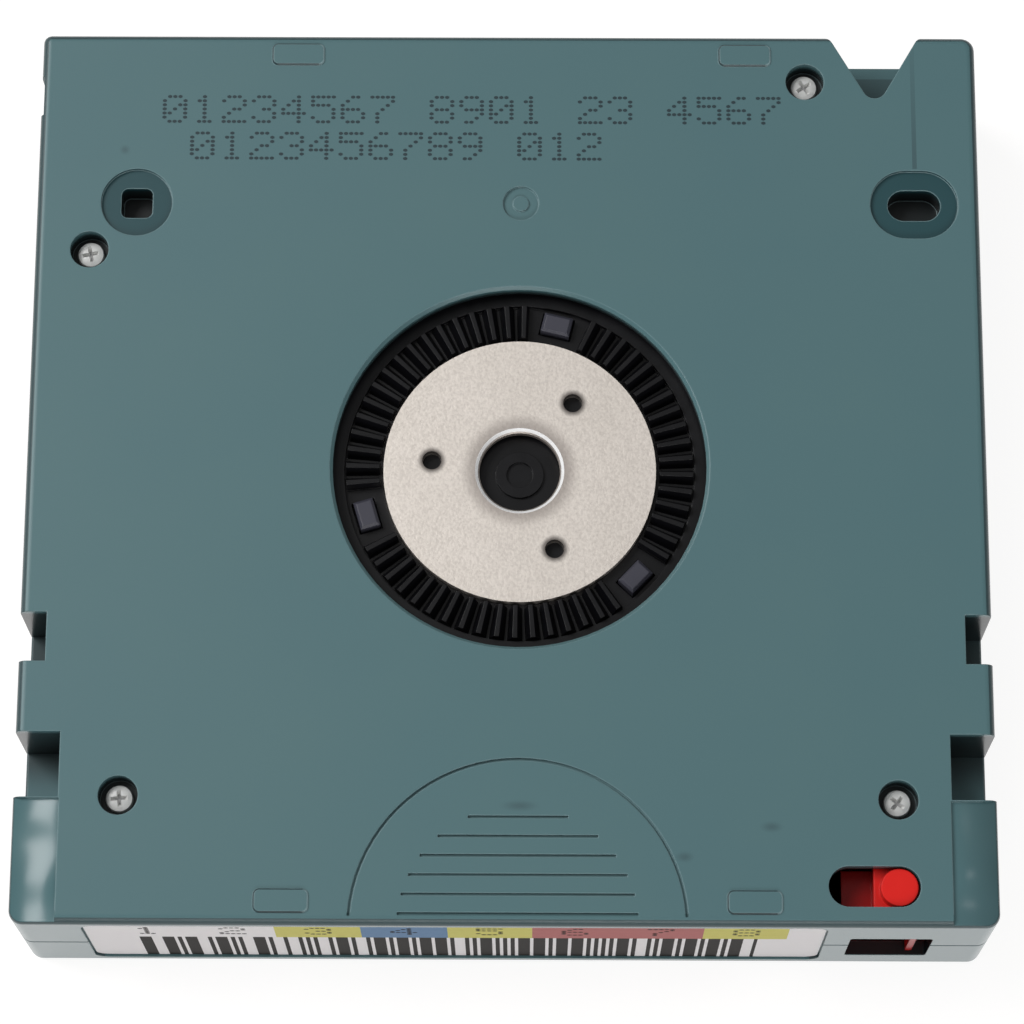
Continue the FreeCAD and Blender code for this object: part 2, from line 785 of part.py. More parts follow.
# ---------------------------------------------------------------- bottom shell


def cut_face_details(part):
    """What is cut into the hub side, all of it from the outer face down."""
    top = s.case_height
    opening = Drawing(part, "hub_opening", level=top)
    cut(part, opening.circle(s.reel_x, 0, s.opening_radius), s.wall + s.sink)
    bevel_edges(part, "opening_rim", s.opening_chamfer, opening_edge(top))

    round_seat = Drawing(part, "round_locator", level=top)
    cut(part, round_seat.circle(-s.round_locator_x, s.locator_y, s.round_locator_radius), s.locator_recess)
    long_seat = Drawing(part, "long_locator", level=top)
    long_seat.stadium(s.long_locator_x, s.locator_y, s.long_locator_half, s.long_locator_radius)
    cut(part, long_seat, s.locator_recess)
    holes = Drawing(part, "locator_holes", level=top)
    half = s.square_hole / 2
    holes.round_box(-s.round_locator_x - half, -s.round_locator_x + half,
                    s.locator_y - half, s.locator_y + half, s.square_hole_radius)
    holes.stadium(s.long_locator_x, s.locator_y, (s.long_hole - s.long_hole_width) / 2, s.long_hole_width / 2)
    cut(part, holes, s.locator_depth)

    counterbores = Drawing(part, "counterbores", level=top)
    shanks = Drawing(part, "screw_holes", level=top)
    for x, y in screw_places:
        counterbores.circle(x, y, s.counterbore_radius)
        shanks.circle(x, y, s.screw_radius + s.screw_clearance)
    cut(part, counterbores, s.counterbore_depth)
    cut(part, shanks, s.case_height - s.seam_height)

    gate = Drawing(part, "gate_dimple", level=top)
    cut(part, gate.circle(s.reel_x, s.locator_y, s.gate_radius), s.gate_depth)
    nub = Drawing(part, "gate_nub", level=top - s.gate_depth)
    pad(part, nub.circle(s.reel_x, s.locator_y, s.gate_nub_radius), s.gate_nub_height)

    half_line = s.grip_line_width / 2
    lines = Drawing(part, "grip_lines", level=top)
    for number in range(int(s.grip_lines.value)):
        rise = s.grip_line_first + number * s.grip_line_pitch
        reach = root(s.grip_line_circle * s.grip_line_circle - rise * rise)
        middle = rise - s.half_depth
        lines.box(s.reel_x - reach, s.reel_x + reach, middle - half_line, middle + half_line)
    cut(part, lines, s.grip_line_depth)
    edge = Drawing(part, "grip_edge", level=top)
    edge.sector(s.reel_x, -s.half_depth, s.grip_radius - half_line, s.grip_radius + half_line,
                s.grip_edge_start, 180 - s.grip_edge_start)
    cut(part, edge, s.grip_line_depth)


def opening_edge(height):
    """A test for the edge of the hub opening at one height."""
    def chosen(edge):
        at_level = level_edge(height)(edge)
        return at_level and abs(edge.BoundBox.XLength - 2 * s.opening_radius.value) < 1e-3
    return chosen


def vee_sides(level):
    """Half the width of the V at one place along Y."""
    return (level - s.vee_apex) * tan(s.vee_half_angle)


def vee_notch(drawing):
    """The V of the leading edge: straight sides, a round foot, and a mouth rounded into the front."""
    x = s.vee_x
    angle = s.vee_half_angle
    foot_x = s.vee_round * cos(angle)
    foot_y = s.vee_centre - s.vee_round * sin(angle)
    reach = s.vee_mouth_round * tan((90 - angle) / 2)
    corner = vee_sides(s.vee_mouth)
    side_x = corner - reach * sin(angle)
    side_y = s.vee_mouth - reach * cos(angle)
    lip = corner + reach
    front = s.half_depth + s.overrun
    return drawing.loop([
        (x - lip, s.vee_mouth, s.vee_mouth_round, -1), (x - side_x, side_y),
        (x - foot_x, foot_y, s.vee_round, 1), (x + foot_x, foot_y),
        (x + side_x, side_y, s.vee_mouth_round, -1), (x + lip, s.vee_mouth),
        (x + lip, front), (x - lip, front)])


def vee_island(drawing):
    """The wall round the V inside the case, joined to the front wall."""
    x = s.vee_x
    angle = s.vee_half_angle
    radius = s.vee_round + s.inner_wall
    foot_x = radius * cos(angle)
    foot_y = s.vee_centre - radius * sin(angle)
    front = s.half_depth - s.sink
    half = vee_sides(front) + s.inner_wall / cos(angle)
    return drawing.loop([
        (x - half, front), (x - foot_x, foot_y, radius, 1), (x + foot_x, foot_y), (x + half, front)])


def notch_blocks(drawing):
    """The walls round the notches in both sides."""
    wall = s.inner_wall
    edge = s.half_width - s.sink
    mirrored_box(drawing, s.half_width - s.small_notch_depth - wall, edge,
                 s.small_notch_rear - wall, s.small_notch_front + wall)
    return mirrored_box(drawing, s.half_width - s.grip_notch_depth - wall, edge,
                        s.grip_notch_rear - wall, s.grip_notch_front + wall)


def board_gusset(drawing):
    """A triangle in the rear corner, its slanted edge along the back of the memory board."""
    wall_y = -s.inner_half_depth - s.sink
    roof_z = s.bottom_inside + s.sink
    slope = tan(s.board_tilt)
    foot_z = s.board_low + s.board_thickness / cos(s.board_tilt) + s.fit
    return drawing.loop([
        (wall_y, roof_z), (wall_y, foot_z + (wall_y - s.board_rear) * slope),
        (s.board_rear + (roof_z - foot_z) / slope, roof_z)])


def bottom_shell():
    """The moulded half with the hub opening, the locators and the notches."""
    part = new_body("bottom_shell")
    height = s.case_height - s.seam_height
    pad(part, case_outline(Drawing(part, "outline", level=s.seam_height)), height)
    round_case_corners(part)
    bevel_edges(part, "seam_bevel", s.seam_bevel, level_edge(s.seam_height))
    round_edges(part, "face_round", s.face_round, level_edge(s.case_height))
    cavity = Drawing(part, "cavity", level=s.seam_height)
    cavity.box(-s.inner_half_width, s.inner_half_width, -s.inner_half_depth, s.inner_half_depth)
    cut(part, cavity, s.bottom_room, up=True)

    bosses = Drawing(part, "screw_bosses", level=s.bottom_inside)
    for x, y in screw_places:
        bosses.circle(x, y, s.boss_radius)
    pad(part, bosses, s.bottom_room, down=True)
    locators = Drawing(part, "locator_bosses", level=s.bottom_inside)
    half = s.square_hole / 2 + s.inner_wall
    locators.round_box(-s.round_locator_x - half, -s.round_locator_x + half,
                       s.locator_y - half, s.locator_y + half, s.square_hole_radius + s.inner_wall / 2)
    locators.stadium(s.long_locator_x, s.locator_y, (s.long_hole - s.long_hole_width) / 2,
                     s.long_hole_width / 2 + s.inner_wall)
    pad(part, locators, s.locator_depth, down=True)

    blocks = Drawing(part, "notch_blocks", level=s.bottom_inside)
    pad(part, notch_blocks(blocks), s.bottom_room, down=True)
    vee_block = Drawing(part, "vee_block", level=s.bottom_inside)
    pad(part, vee_island(vee_block), s.bottom_room - s.gap, down=True)

    inside_ribs(part, s.bottom_inside, s.bottom_room, True)
    slider_rib = Drawing(part, "slider_rib", level=s.bottom_inside)
    rib_rear = -s.inner_half_depth + s.gap * 2 + s.slider_width
    slider_rib.box(s.slider_plate_left - s.slider_travel, s.inner_half_width + s.sink,
                   rib_rear, rib_rear + s.rib_thickness)
    pad(part, slider_rib, s.bottom_room, down=True)
    far_rib = s.board_left + s.board_length - s.board_rib_width - s.gap
    for name, x in (("left", s.board_left + s.gap), ("right", far_rib)):
        gusset = Drawing(part, "board_rib_" + name, "YZ_Plane", x)
        pad(part, board_gusset(gusset), s.board_rib_width)

    cut_face_details(part)
    vee = Drawing(part, "vee", level=s.case_height)
    cut(part, vee_notch(vee), s.case_height - s.vee_floor)
    notches = Drawing(part, "side_notches", level=s.case_height)
    outside = s.half_width + s.overrun
    mirrored_box(notches, s.half_width - s.small_notch_depth, outside,
                 s.small_notch_rear, s.small_notch_front)
    mirrored_box(notches, s.half_width - s.grip_notch_depth, outside,
                 s.grip_notch_rear, s.grip_notch_front)
    cut(part, notches, height)
    steps = Drawing(part, "corner_steps", level=s.case_height)
    mirrored_box(steps, s.half_width - s.corner_step_width, outside,
                 -s.half_depth - s.overrun, s.corner_step_front)
    cut(part, steps, s.corner_step_depth)
    slot = Drawing(part, "slider_slot", level=s.case_height)
    cut(part, slot.stadium(s.slot_x, s.slot_y, s.slot_half, s.slot_radius), s.wall + s.sink)
    cut_wall_details(part)

    rib_top = s.case_height + s.rib_rise
    outer = s.half_depth - s.rib_margin
    inner = outer - s.rib_width
    ribs = Drawing(part, "stacking_ribs", level=s.case_height - s.sink)
    for x in (s.reel_x - s.rib_spacing, s.reel_x + s.rib_spacing):
        for low, high in ((inner, outer), (-outer, -inner)):
            ribs.round_box(x - s.rib_half_length, x + s.rib_half_length, low, high, s.rib_round)
    pad(part, ribs, s.sink + s.rib_rise)
    bevel_edges(part, "rib_bevel", s.rib_bevel, level_edge(rib_top))
    return part


def cut_wall_details(part):
    """What both shells have in their outer walls: label pocket, slider window, door window and edge."""
    pocket = Drawing(part, "label_pocket", "XZ_Plane", s.half_depth)
    pocket.round_box(s.label_left, s.label_right, s.label_low, s.label_high, s.label_round)
    cut(part, pocket, s.label_pocket_depth)
    window = Drawing(part, "slider_window", "XZ_Plane", s.half_depth)
    window.round_box(s.window_left, s.window_right, s.window_low, s.window_high, s.window_round)
    cut(part, window, s.wall + s.sink)
    door_window = Drawing(part, "door_window", "YZ_Plane", -s.half_width)
    door_window.round_box(s.door_window_rear, s.door_window_front, s.door_window_low, s.door_window_high,
                          s.door_window_round)
    cut(part, door_window, s.wall + s.fit, up=True)
    door_edge = Drawing(part, "door_edge", "YZ_Plane", -s.half_width - s.overrun)
    door_edge.box(s.door_edge_rear, s.door_edge_front, -s.overrun, s.case_height + s.overrun)
    cut(part, door_edge, s.door_edge_depth + s.overrun, up=True)


# ---------------------------------------------------------------- top shell


def top_shell():
    """The moulded half that the cartridge lies on, with the post that the brake slides on."""
    part = new_body("top_shell")
    pad(part, case_outline(Drawing(part, "outline")), s.seam_height)
    round_case_corners(part)
    bevel_edges(part, "seam_bevel", s.seam_bevel, level_edge(s.seam_height))
    round_edges(part, "face_round", s.top_round, level_edge(size(0)))
    cavity = Drawing(part, "cavity", level=s.seam_height)
    cavity.box(-s.inner_half_width, s.inner_half_width, -s.inner_half_depth, s.inner_half_depth)
    cut(part, cavity, s.top_room)

    bosses = Drawing(part, "screw_bosses", level=s.top_inside)
    for x, y in screw_places:
        bosses.circle(x, y, s.boss_radius)
    pad(part, bosses, s.top_room)
    holes = Drawing(part, "screw_holes", level=s.seam_height)
    for x, y in screw_places:
        holes.circle(x, y, s.screw_radius + s.snug)
    cut(part, holes, s.top_room - s.boss_floor)
    shelves = Drawing(part, "notch_shelves", level=s.seam_height)
    pad(part, notch_blocks(shelves), s.inner_wall, down=True)

    inside_ribs(part, s.top_inside, s.top_room, False)
    post = Drawing(part, "brake_post", level=s.top_inside)
    post.circle(s.reel_x, 0, s.post_radius)
    post.circle(s.reel_x, 0, s.post_bore)
    pad(part, post, s.post_top - s.top_inside)
    for name, turn in (("key", s.brake_turn), ("cross_key", s.brake_turn + 90)):
        key = Drawing(part, name, level=s.top_inside)
        key.bar(s.reel_x, 0, s.key_reach, s.key_width / 2, turn)
        pad(part, key, s.post_top - s.top_inside)
    prop = Drawing(part, "board_prop", level=s.top_inside)
    inset = s.board_length * s.board_prop_share
    prop.box(s.board_left + inset, s.board_left + s.board_length - inset,
             s.board_rear - s.gap, s.board_rear + s.rib_thickness - s.sink)
    pad(part, prop, s.top_room)

    arrow = Drawing(part, "arrow")
    arrow.loop([
        (-s.arrow_half, s.arrow_y), (s.arrow_half, s.arrow_y), (0, s.arrow_y + s.arrow_length)])
    cut(part, arrow, s.arrow_depth, up=True)
    cut_wall_details(part)
    return part


# ---------------------------------------------------------------- screws and label


def case_screw(number, x, y):
    """A round-headed screw from the hub side into the top shell's boss."""
    part = new_body("case_screw_%d" % number, x, y)
    seat = s.case_height - s.counterbore_depth
    top = seat + s.screw_head_height
    profile = Drawing(part, "profile", "XZ_Plane")
    profile.loop([
        (0, seat - s.screw_length), (s.screw_radius, seat - s.screw_length),
        (s.screw_radius, seat), (s.screw_head_radius, seat), (s.screw_head_radius, top), (0, top)])
    turned(part, profile)
    return part


def barcode_label():
    """The paper label in its pocket on the rear wall."""
    part = new_body("barcode_label")
    sheet_face = Drawing(part, "outline", "XZ_Plane", s.half_depth - s.label_pocket_depth)
    margin = s.label_margin
    sheet_face.round_box(s.label_left + margin, s.label_right - margin, s.label_low + margin,
                         s.label_high - margin, s.label_round - margin)
    pad(part, sheet_face, s.label_thickness)
    return part


# ---------------------------------------------------------------- reel


def lock_tooth(part, root_level, tip_level):
    """A tooth of the brake or of the hub that it locks, from its root to its tip."""
    root_angle = s.half_pitch * s.lock_root_share
    tip_angle = s.half_pitch * s.lock_tip_share
    return radial_tooth(part, "lock_tooth", s.lock_inner + s.lock_inset, s.lock_outer - s.lock_inset,
                        root_level, tip_level, root_angle, tip_angle)


def reel_hub():
    """The hub with its bottom flange, the drive teeth outside and the locking teeth inside."""
    part = new_body("reel_hub", s.reel_x, 0, s.reel_turn)
    spigot_end = s.top_flange_low
    shoulder = s.top_flange_top
    flange_top = s.flange_top
    land_top = s.bottom_inside - s.hub_land_gap
    seat_radius = s.plate_radius + s.fit / 2
    profile = Drawing(part, "profile", "XZ_Plane")
    profile.loop([
        (0, s.hub_floor_low), (s.hub_bore, s.hub_floor_low), (s.hub_bore, spigot_end),
        (s.hub_spigot, spigot_end), (s.hub_spigot, shoulder), (s.hub_radius, shoulder),
        (s.hub_radius, s.bottom_flange_low), (s.flange_radius, s.bottom_flange_low),
        (s.flange_radius, flange_top), (s.hub_radius, flange_top), (s.hub_radius, land_top),
        (s.hub_land_inner, land_top), (s.hub_land_inner, flange_top), (s.collar_inner, flange_top),
        (s.collar_inner, s.gear_root),
        (seat_radius, s.gear_root), (seat_radius, s.plate_low),
        (s.well_radius, s.plate_low), (s.well_radius, s.well_floor), (s.well_ring_radius, s.well_floor),
        (s.well_ring_radius, s.well_ring_top), (s.well_dimple_radius, s.well_ring_top),
        (s.well_dimple_radius, s.well_floor), (0, s.well_floor)])
    turned(part, profile)

    tooth = radial_tooth(part, "drive_tooth", s.tooth_inner, s.tooth_outer, s.gear_root - s.fit,
                         s.tooth_top, s.half_pitch * s.tooth_root_share, s.half_pitch * s.tooth_tip_share)
    ring_of(part, tooth, s.teeth)
    pockets = Drawing(part, "foot_pockets", level=s.tooth_top + s.sink)
    for turn in (0.0, 120.0, 240.0):
        pockets.sector(0, 0, s.tooth_inner - s.fit, s.collar_inner - s.fit / 2,
                       turn - s.pocket_angle, turn + s.pocket_angle)
    cut(part, pockets, s.tooth_top + s.sink - s.gear_root)

    ribs = Drawing(part, "lock_rib", level=s.hub_floor_low)
    ribs.circle(0, 0, s.lock_outer)
    ribs.circle(0, 0, s.lock_inner)
    pad(part, ribs, s.hub_floor_low - s.lock_root, down=True)
    lock = lock_tooth(part, s.lock_root + s.fit, s.lock_tip)
    ring_of(part, lock, s.teeth)
    gaps = Drawing(part, "foot_gaps", level=s.hub_floor_low)
    for turn in (0.0, 120.0, 240.0):
        gaps.sector(0, 0, s.lock_inner - s.sink, s.lock_outer + s.sink,
                    turn - s.lock_gap_angle, turn + s.lock_gap_angle)
    cut(part, gaps, s.hub_floor_low - s.lock_tip + s.sink)

    hole = Drawing(part, "foot_hole", level=s.gear_root + s.sink)
    half_across = s.foot_width / 2 + s.foot_play
    half_along = s.foot_length / 2 + s.foot_play
    hole.box(s.foot_circle - half_across, s.foot_circle + half_across, -half_along, half_along)
    through = cut(part, hole, s.hub_floor_thickness + 2 * s.sink)
    ring_of(part, through, 3)
    return part


def reel_top_flange():
    """The loose flange, welded on the hub's spigot."""
    part = new_body("reel_top_flange", s.reel_x, 0)
    disc = Drawing(part, "outline", level=s.top_flange_low)
    disc.circle(0, 0, s.flange_radius)
    disc.circle(0, 0, s.hub_spigot + s.snug)
    pad(part, disc, s.top_flange_thickness)
    return part


def reel_drive_plate():
    """The steel plate that the drive's magnet pulls, with a rimmed bore and three holes."""
    part = new_body("reel_drive_plate", s.reel_x, 0, s.reel_turn)
    disc = Drawing(part, "outline", level=s.plate_low)
    disc.circle(0, 0, s.plate_radius)
    disc.circle(0, 0, s.plate_bore)
    pad(part, disc, s.plate_thickness)
    top = s.plate_low + s.plate_thickness
    bevel_edges(part, "rim", s.plate_rim, lambda edge: (
        level_edge(top)(edge) and edge.BoundBox.XLength < 4 * s.plate_bore.value))
    hole = Drawing(part, "hole", level=top)
    angle = s.plate_hole_turn
    hole.circle(s.plate_hole_circle * cos(angle), s.plate_hole_circle * sin(angle), s.plate_hole_radius)
    through = cut(part, hole, s.plate_thickness + s.fit)
    ring_of(part, through, 3)
    return part


def tape_pack():
    """The tape wound on the hub, between the flanges."""
    part = new_body("tape_pack", s.reel_x, 0)
    ring = Drawing(part, "outline", level=s.tape_low)
    ring.circle(0, 0, s.tape_radius)
    ring.circle(0, 0, s.hub_radius + s.snug)
    pad(part, ring, s.tape_width)
    return part


# ---------------------------------------------------------------- brake


def brake_ring():
    """The brake: a ring of teeth that locks the hub, and a sleeve keyed to the top shell's post."""
    part = new_body("brake_ring", s.reel_x, 0, s.brake_turn)
    profile = Drawing(part, "profile", "XZ_Plane")
    button_foot = s.brake_button - s.button_rise
    profile.loop([
        (0, s.sleeve_roof), (s.sleeve_bore, s.sleeve_roof), (s.sleeve_bore, s.sleeve_low),
        (s.sleeve_radius, s.sleeve_low), (s.sleeve_radius, s.brake_low), (s.brake_radius, s.brake_low),
        (s.brake_radius, s.brake_face), (s.button_radius, s.brake_face),
        (s.button_radius, button_foot), (s.button_radius / 2, s.brake_button),
        (0, s.brake_button)])
    turned(part, profile)
    for name, turn in (("keyway", 0.0), ("cross_keyway", 90.0)):
        keyway = Drawing(part, name, level=s.sleeve_low)
        keyway.bar(0, 0, s.key_reach + s.key_play, s.key_width / 2 + s.key_play, turn)
        cut(part, keyway, s.sleeve_roof - s.sleeve_low, up=True)
    tooth = lock_tooth(part, s.brake_face - s.fit, s.brake_tooth_top)
    ring_of(part, tooth, s.teeth)
    return part


def release_spider():
    """The three-armed plate between the brake and the hub floor, its feet out among the drive teeth."""
    part = new_body("release_spider", s.reel_x, 0, s.reel_turn)
    plate = Drawing(part, "plate", level=s.spider_low)
    corners = []
    for turn in (0, 120, 240):
        for side in (-60, 60):
            corner = (s.spider_corner * cos(turn) + s.spider_round * cos(turn + side),
                      s.spider_corner * sin(turn) + s.spider_round * sin(turn + side))
            corners.append(corner if side > 0 else corner + (s.spider_round, 1))
    pad(part, plate.loop(corners), s.spider_thickness)
    foot = Drawing(part, "foot", level=s.spider_low)
    half_across = s.foot_width / 2
    half_along = s.foot_length / 2
    foot.box(s.foot_circle - half_across, s.foot_circle + half_across, -half_along, half_along)
    leg = pad(part, foot, s.foot_top - s.spider_low)
    ring_of(part, leg, 3)
    bevel_edges(part, "foot_bevel", s.foot_bevel, level_edge(s.foot_top))
    return part


def coil(name, radius, wire, turns, length, sides):
    """A coil spring along Z from its own origin: a wire of four flats, ruled from section to section."""
    steps = int(round(turns.value * sides))
    reach = wire.value / 2
    sections = []
    for step in range(steps + 1):
        angle = 2 * math.pi * step / sides
        rise = length.value * step / steps
        outline = []
        for corner in range(5):
            lean = math.pi / 2 * corner
            out = radius.value + reach * math.cos(lean)
            outline.append(FreeCAD.Vector(
                out * math.cos(angle), out * math.sin(angle), rise + reach * math.sin(lean)))
        sections.append(Part.makePolygon(outline))
    part = doc.addObject("Part::Feature", name)
    part.Label = name
    part.Shape = Part.makeLoft(sections, True, True)
    return part


def brake_spring():
    """The spring that presses the brake into the hub, round the sleeve."""
    low = s.top_inside + s.brake_spring_wire / 2 + s.fit
    high = s.brake_low - s.brake_spring_wire / 2 - s.fit
    part = coil("brake_spring", s.brake_spring_radius, s.brake_spring_wire, s.brake_spring_turns,
                high - low, 8)
    part.Placement = FreeCAD.Placement(FreeCAD.Vector(s.reel_x.value, 0, low.value), FreeCAD.Rotation())
    return part


# ---------------------------------------------------------------- door


def door():
    """The sliding door inside the left wall, with the tab that the drive pushes."""
    part = new_body("door")
    low = s.top_inside + s.door_play
    plate = Drawing(part, "plate", level=low)
    plate.box(s.door_outer, s.door_inner, s.door_rear, s.door_front)
    pad(part, plate, s.bottom_inside - s.door_play - low)
    tab = Drawing(part, "tab", level=s.door_tab_low)
    tab_face = -s.half_width + s.door_edge_depth + s.door_tab_sink
    tab.box(tab_face, s.door_outer + s.sink, s.door_tab_rear, s.door_tab_front)
    pad(part, tab, s.door_tab_high - s.door_tab_low)
    return part


def door_spring():
    """The coil behind the door, between it and the stop ribs."""
    start = s.door_spring_end + s.door_spring_wire / 2 + s.fit
    end = s.door_rear - s.door_spring_wire / 2 - s.fit
    part = coil("door_spring", s.door_spring_radius, s.door_spring_wire, s.door_spring_turns,
                end - start, 6)
    middle = (s.door_outer + s.door_inner) / 2
    rise = s.seam_height + s.door_spring_rise
    place = FreeCAD.Vector(middle.value, start.value, rise.value)
    part.Placement = FreeCAD.Placement(place, FreeCAD.Rotation(FreeCAD.Vector(1, 0, 0), -90))
    return part


# ---------------------------------------------------------------- leader


def leader_pin():
    """The steel pin that the drive takes the tape by: a core with a disc at each end."""
    part = new_body("leader_pin", s.pin_x, s.pin_y)
    low = s.top_inside + s.gap
    high = s.bottom_inside - s.gap
    profile = Drawing(part, "profile", "XZ_Plane")
    profile.loop([
        (0, low), (s.pin_disc_radius, low), (s.pin_disc_radius, low + s.pin_disc_thickness),
        (s.pin_radius, low + s.pin_disc_thickness), (s.pin_radius, high - s.pin_disc_thickness),
        (s.pin_disc_radius, high - s.pin_disc_thickness), (s.pin_disc_radius, high), (0, high)])
    turned(part, profile)
    return part


def leader_pin_clip():
    """The C-shaped clip that holds the tape on the pin, open to the front."""
    part = new_body("leader_pin_clip", s.pin_x, s.pin_y)
    ring = Drawing(part, "outline", level=s.tape_low)
    ring.circle(0, 0, s.clip_radius)
    ring.circle(0, 0, s.pin_radius + s.snug)
    pad(part, ring, s.tape_width)
    mouth = Drawing(part, "mouth", level=s.tape_high)
    mouth.box(-s.clip_radius - s.overrun, -s.clip_mouth_start, -s.clip_mouth / 2, s.clip_mouth / 2)
    cut(part, mouth, s.tape_width)
    return part


def tape_leader():
    """The straight run of tape from the pin to the wound tape, which it meets at a tangent."""
    part = new_body("tape_leader")
    near = s.tape_radius + s.gap
    start_x = s.pin_x + s.leader_start
    start_y = s.pin_y + s.clip_radius + s.fit
    across = s.reel_x - start_x
    reach = root(across * across + start_y * start_y)
    slant = Size(math.degrees(math.atan2(start_y.value, -across.value)), "atan2(%s; %s)" % (
        start_y.text, (-across).text))
    open_angle = Size(math.degrees(math.acos(near.value / reach.value)),
                      "acos(%s / %s)" % (near.text, reach.text))
    angle = slant - open_angle
    thick = s.leader_thickness
    end_x = s.reel_x + near * cos(angle)
    end_y = near * sin(angle)
    outline = Drawing(part, "outline", level=s.tape_low)
    outline.loop([
        (start_x, start_y), (end_x, end_y),
        (end_x + thick * cos(angle), end_y + thick * sin(angle)),
        (start_x + thick * cos(angle), start_y + thick * sin(angle))])
    pad(part, outline, s.tape_width)
    return part


def leader_pin_spring():
    """The bent strip whose two arms hold the pin's discs in their seats."""
    part = new_body("leader_pin_spring")
    low = s.top_inside + s.gap + s.pin_disc_thickness + s.fit
    high = s.bottom_inside - s.gap - s.pin_disc_thickness - s.fit
    strip = s.spring_strip
    back = s.spring_back
    tip = s.pin_x + s.pin_spring_reach
    shape = Drawing(part, "outline", "XZ_Plane", s.pin_radius + s.pin_spring_gap - s.pin_y)
    shape.loop([
        (tip, low), (back, low), (back, high), (tip, high), (tip, high - strip),
        (back - strip, high - strip), (back - strip, low + strip), (tip, low + strip)])
    pad(part, shape, s.pin_spring_width)
    return part


# ---------------------------------------------------------------- memory board


def memory_board():
    """The contactless memory board, leaning in the rear left corner."""
    part = doc.addObject("Part::Box", "memory_board")
    part.Label = "memory_board"
    part.setExpression("Length", s.board_length.text)
    part.setExpression("Width", s.board_width.text)
    part.setExpression("Height", s.board_thickness.text)
    part.Placement = FreeCAD.Placement(
        FreeCAD.Vector(0, 0, 0), FreeCAD.Rotation(FreeCAD.Vector(1, 0, 0), s.board_tilt.value))
    part.setExpression("Placement.Base.x", s.board_left.text)
    part.setExpression("Placement.Base.y", s.board_rear.text)
    part.setExpression("Placement.Base.z", s.board_low.text)
    part.setExpression("Placement.Rotation.Angle", s.board_tilt.text)
    doc.recompute()
    return part


def memory_chip_cover():
    """The round drop of resin over the chip, on the inner face of the board."""
    part = doc.addObject("Part::Cylinder", "memory_chip_cover")
    part.Label = "memory_chip_cover"
    part.setExpression("Radius", s.chip_radius.text)
    part.setExpression("Height", s.chip_height.text)
    along = s.board_width / 2
    part.Placement = FreeCAD.Placement(
        FreeCAD.Vector(0, 0, 0), FreeCAD.Rotation(FreeCAD.Vector(1, 0, 0), s.board_tilt.value + 180))
    part.setExpression("Placement.Base.x", (s.board_left + s.board_length / 2).text)
    part.setExpression("Placement.Base.y", (s.board_rear + along * cos(s.board_tilt)).text)
    part.setExpression("Placement.Base.z", (s.board_low + along * sin(s.board_tilt)).text)
    part.setExpression("Placement.Rotation.Angle", (s.board_tilt + 180).text)
    doc.recompute()
    return part


# ---------------------------------------------------------------- write protect slider


def write_protect_slider():
    """The red slider: a block with a knob in the slot and a rib in the window."""
    part = new_body("write_protect_slider")
    rear = -s.inner_half_depth + s.gap
    front = rear + s.slider_width
    low = s.top_inside + s.slider_foot_gap
    top = s.bottom_inside - s.gap
    block = Drawing(part, "block", level=low)
    block.box(s.slider_block_left, s.slider_block_right, rear, front)
    pad(part, block, top - low)
    plate = Drawing(part, "plate", level=low)
    plate.box(s.slider_plate_left, s.slider_block_left + s.sink, rear, front)
    pad(part, plate, top - s.slider_plate_drop - low)
    knob = Drawing(part, "knob", level=top - s.sink)
    knob.circle(s.knob_x, s.slot_y, s.knob_radius)
    pad(part, knob, s.case_height - s.knob_sink - top + s.sink)
    rib = Drawing(part, "rib", level=s.window_low + s.gap)
    rib.box(s.slider_rib_left, s.slider_rib_left + s.slider_rib_width,
            s.slider_rib_sink - s.half_depth, rear + s.sink)
    pad(part, rib, s.window_high - s.window_low - 2 * s.gap)
    return part


# ---------------------------------------------------------------- build, check and write

parts = [bottom_shell(), top_shell()]
for number, (x, y) in enumerate(screw_places, start=1):
    parts.append(case_screw(number, x, y))
parts += [
    barcode_label(), reel_hub(), reel_top_flange(), reel_drive_plate(), tape_pack(),
    brake_ring(), brake_spring(), release_spider(), leader_pin(), leader_pin_clip(),
    tape_leader(), leader_pin_spring(), door(), door_spring(), memory_board(),
    memory_chip_cover(), write_protect_slider()]
doc.recompute()

for item in doc.Objects:
    if "Invalid" in item.State or "Error" in item.State:
        raise ValueError("%s did not recompute: %s" % (item.Name, item.State))
for part in parts:
    if part.Shape.isNull() or not part.Shape.isValid() or len(part.Shape.Solids) != 1:
        raise ValueError("%s is not one valid solid" % part.Label)

os.makedirs("parts", exist_ok=True)
for part in parts:
    part.Shape.exportStep("parts/%s.step" % part.Label)
    print("%-22s %9.1f mm3" % (part.Label, part.Shape.Volume))
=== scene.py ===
import math
import random
import bmesh
import bpy
from mathutils import Matrix, Vector


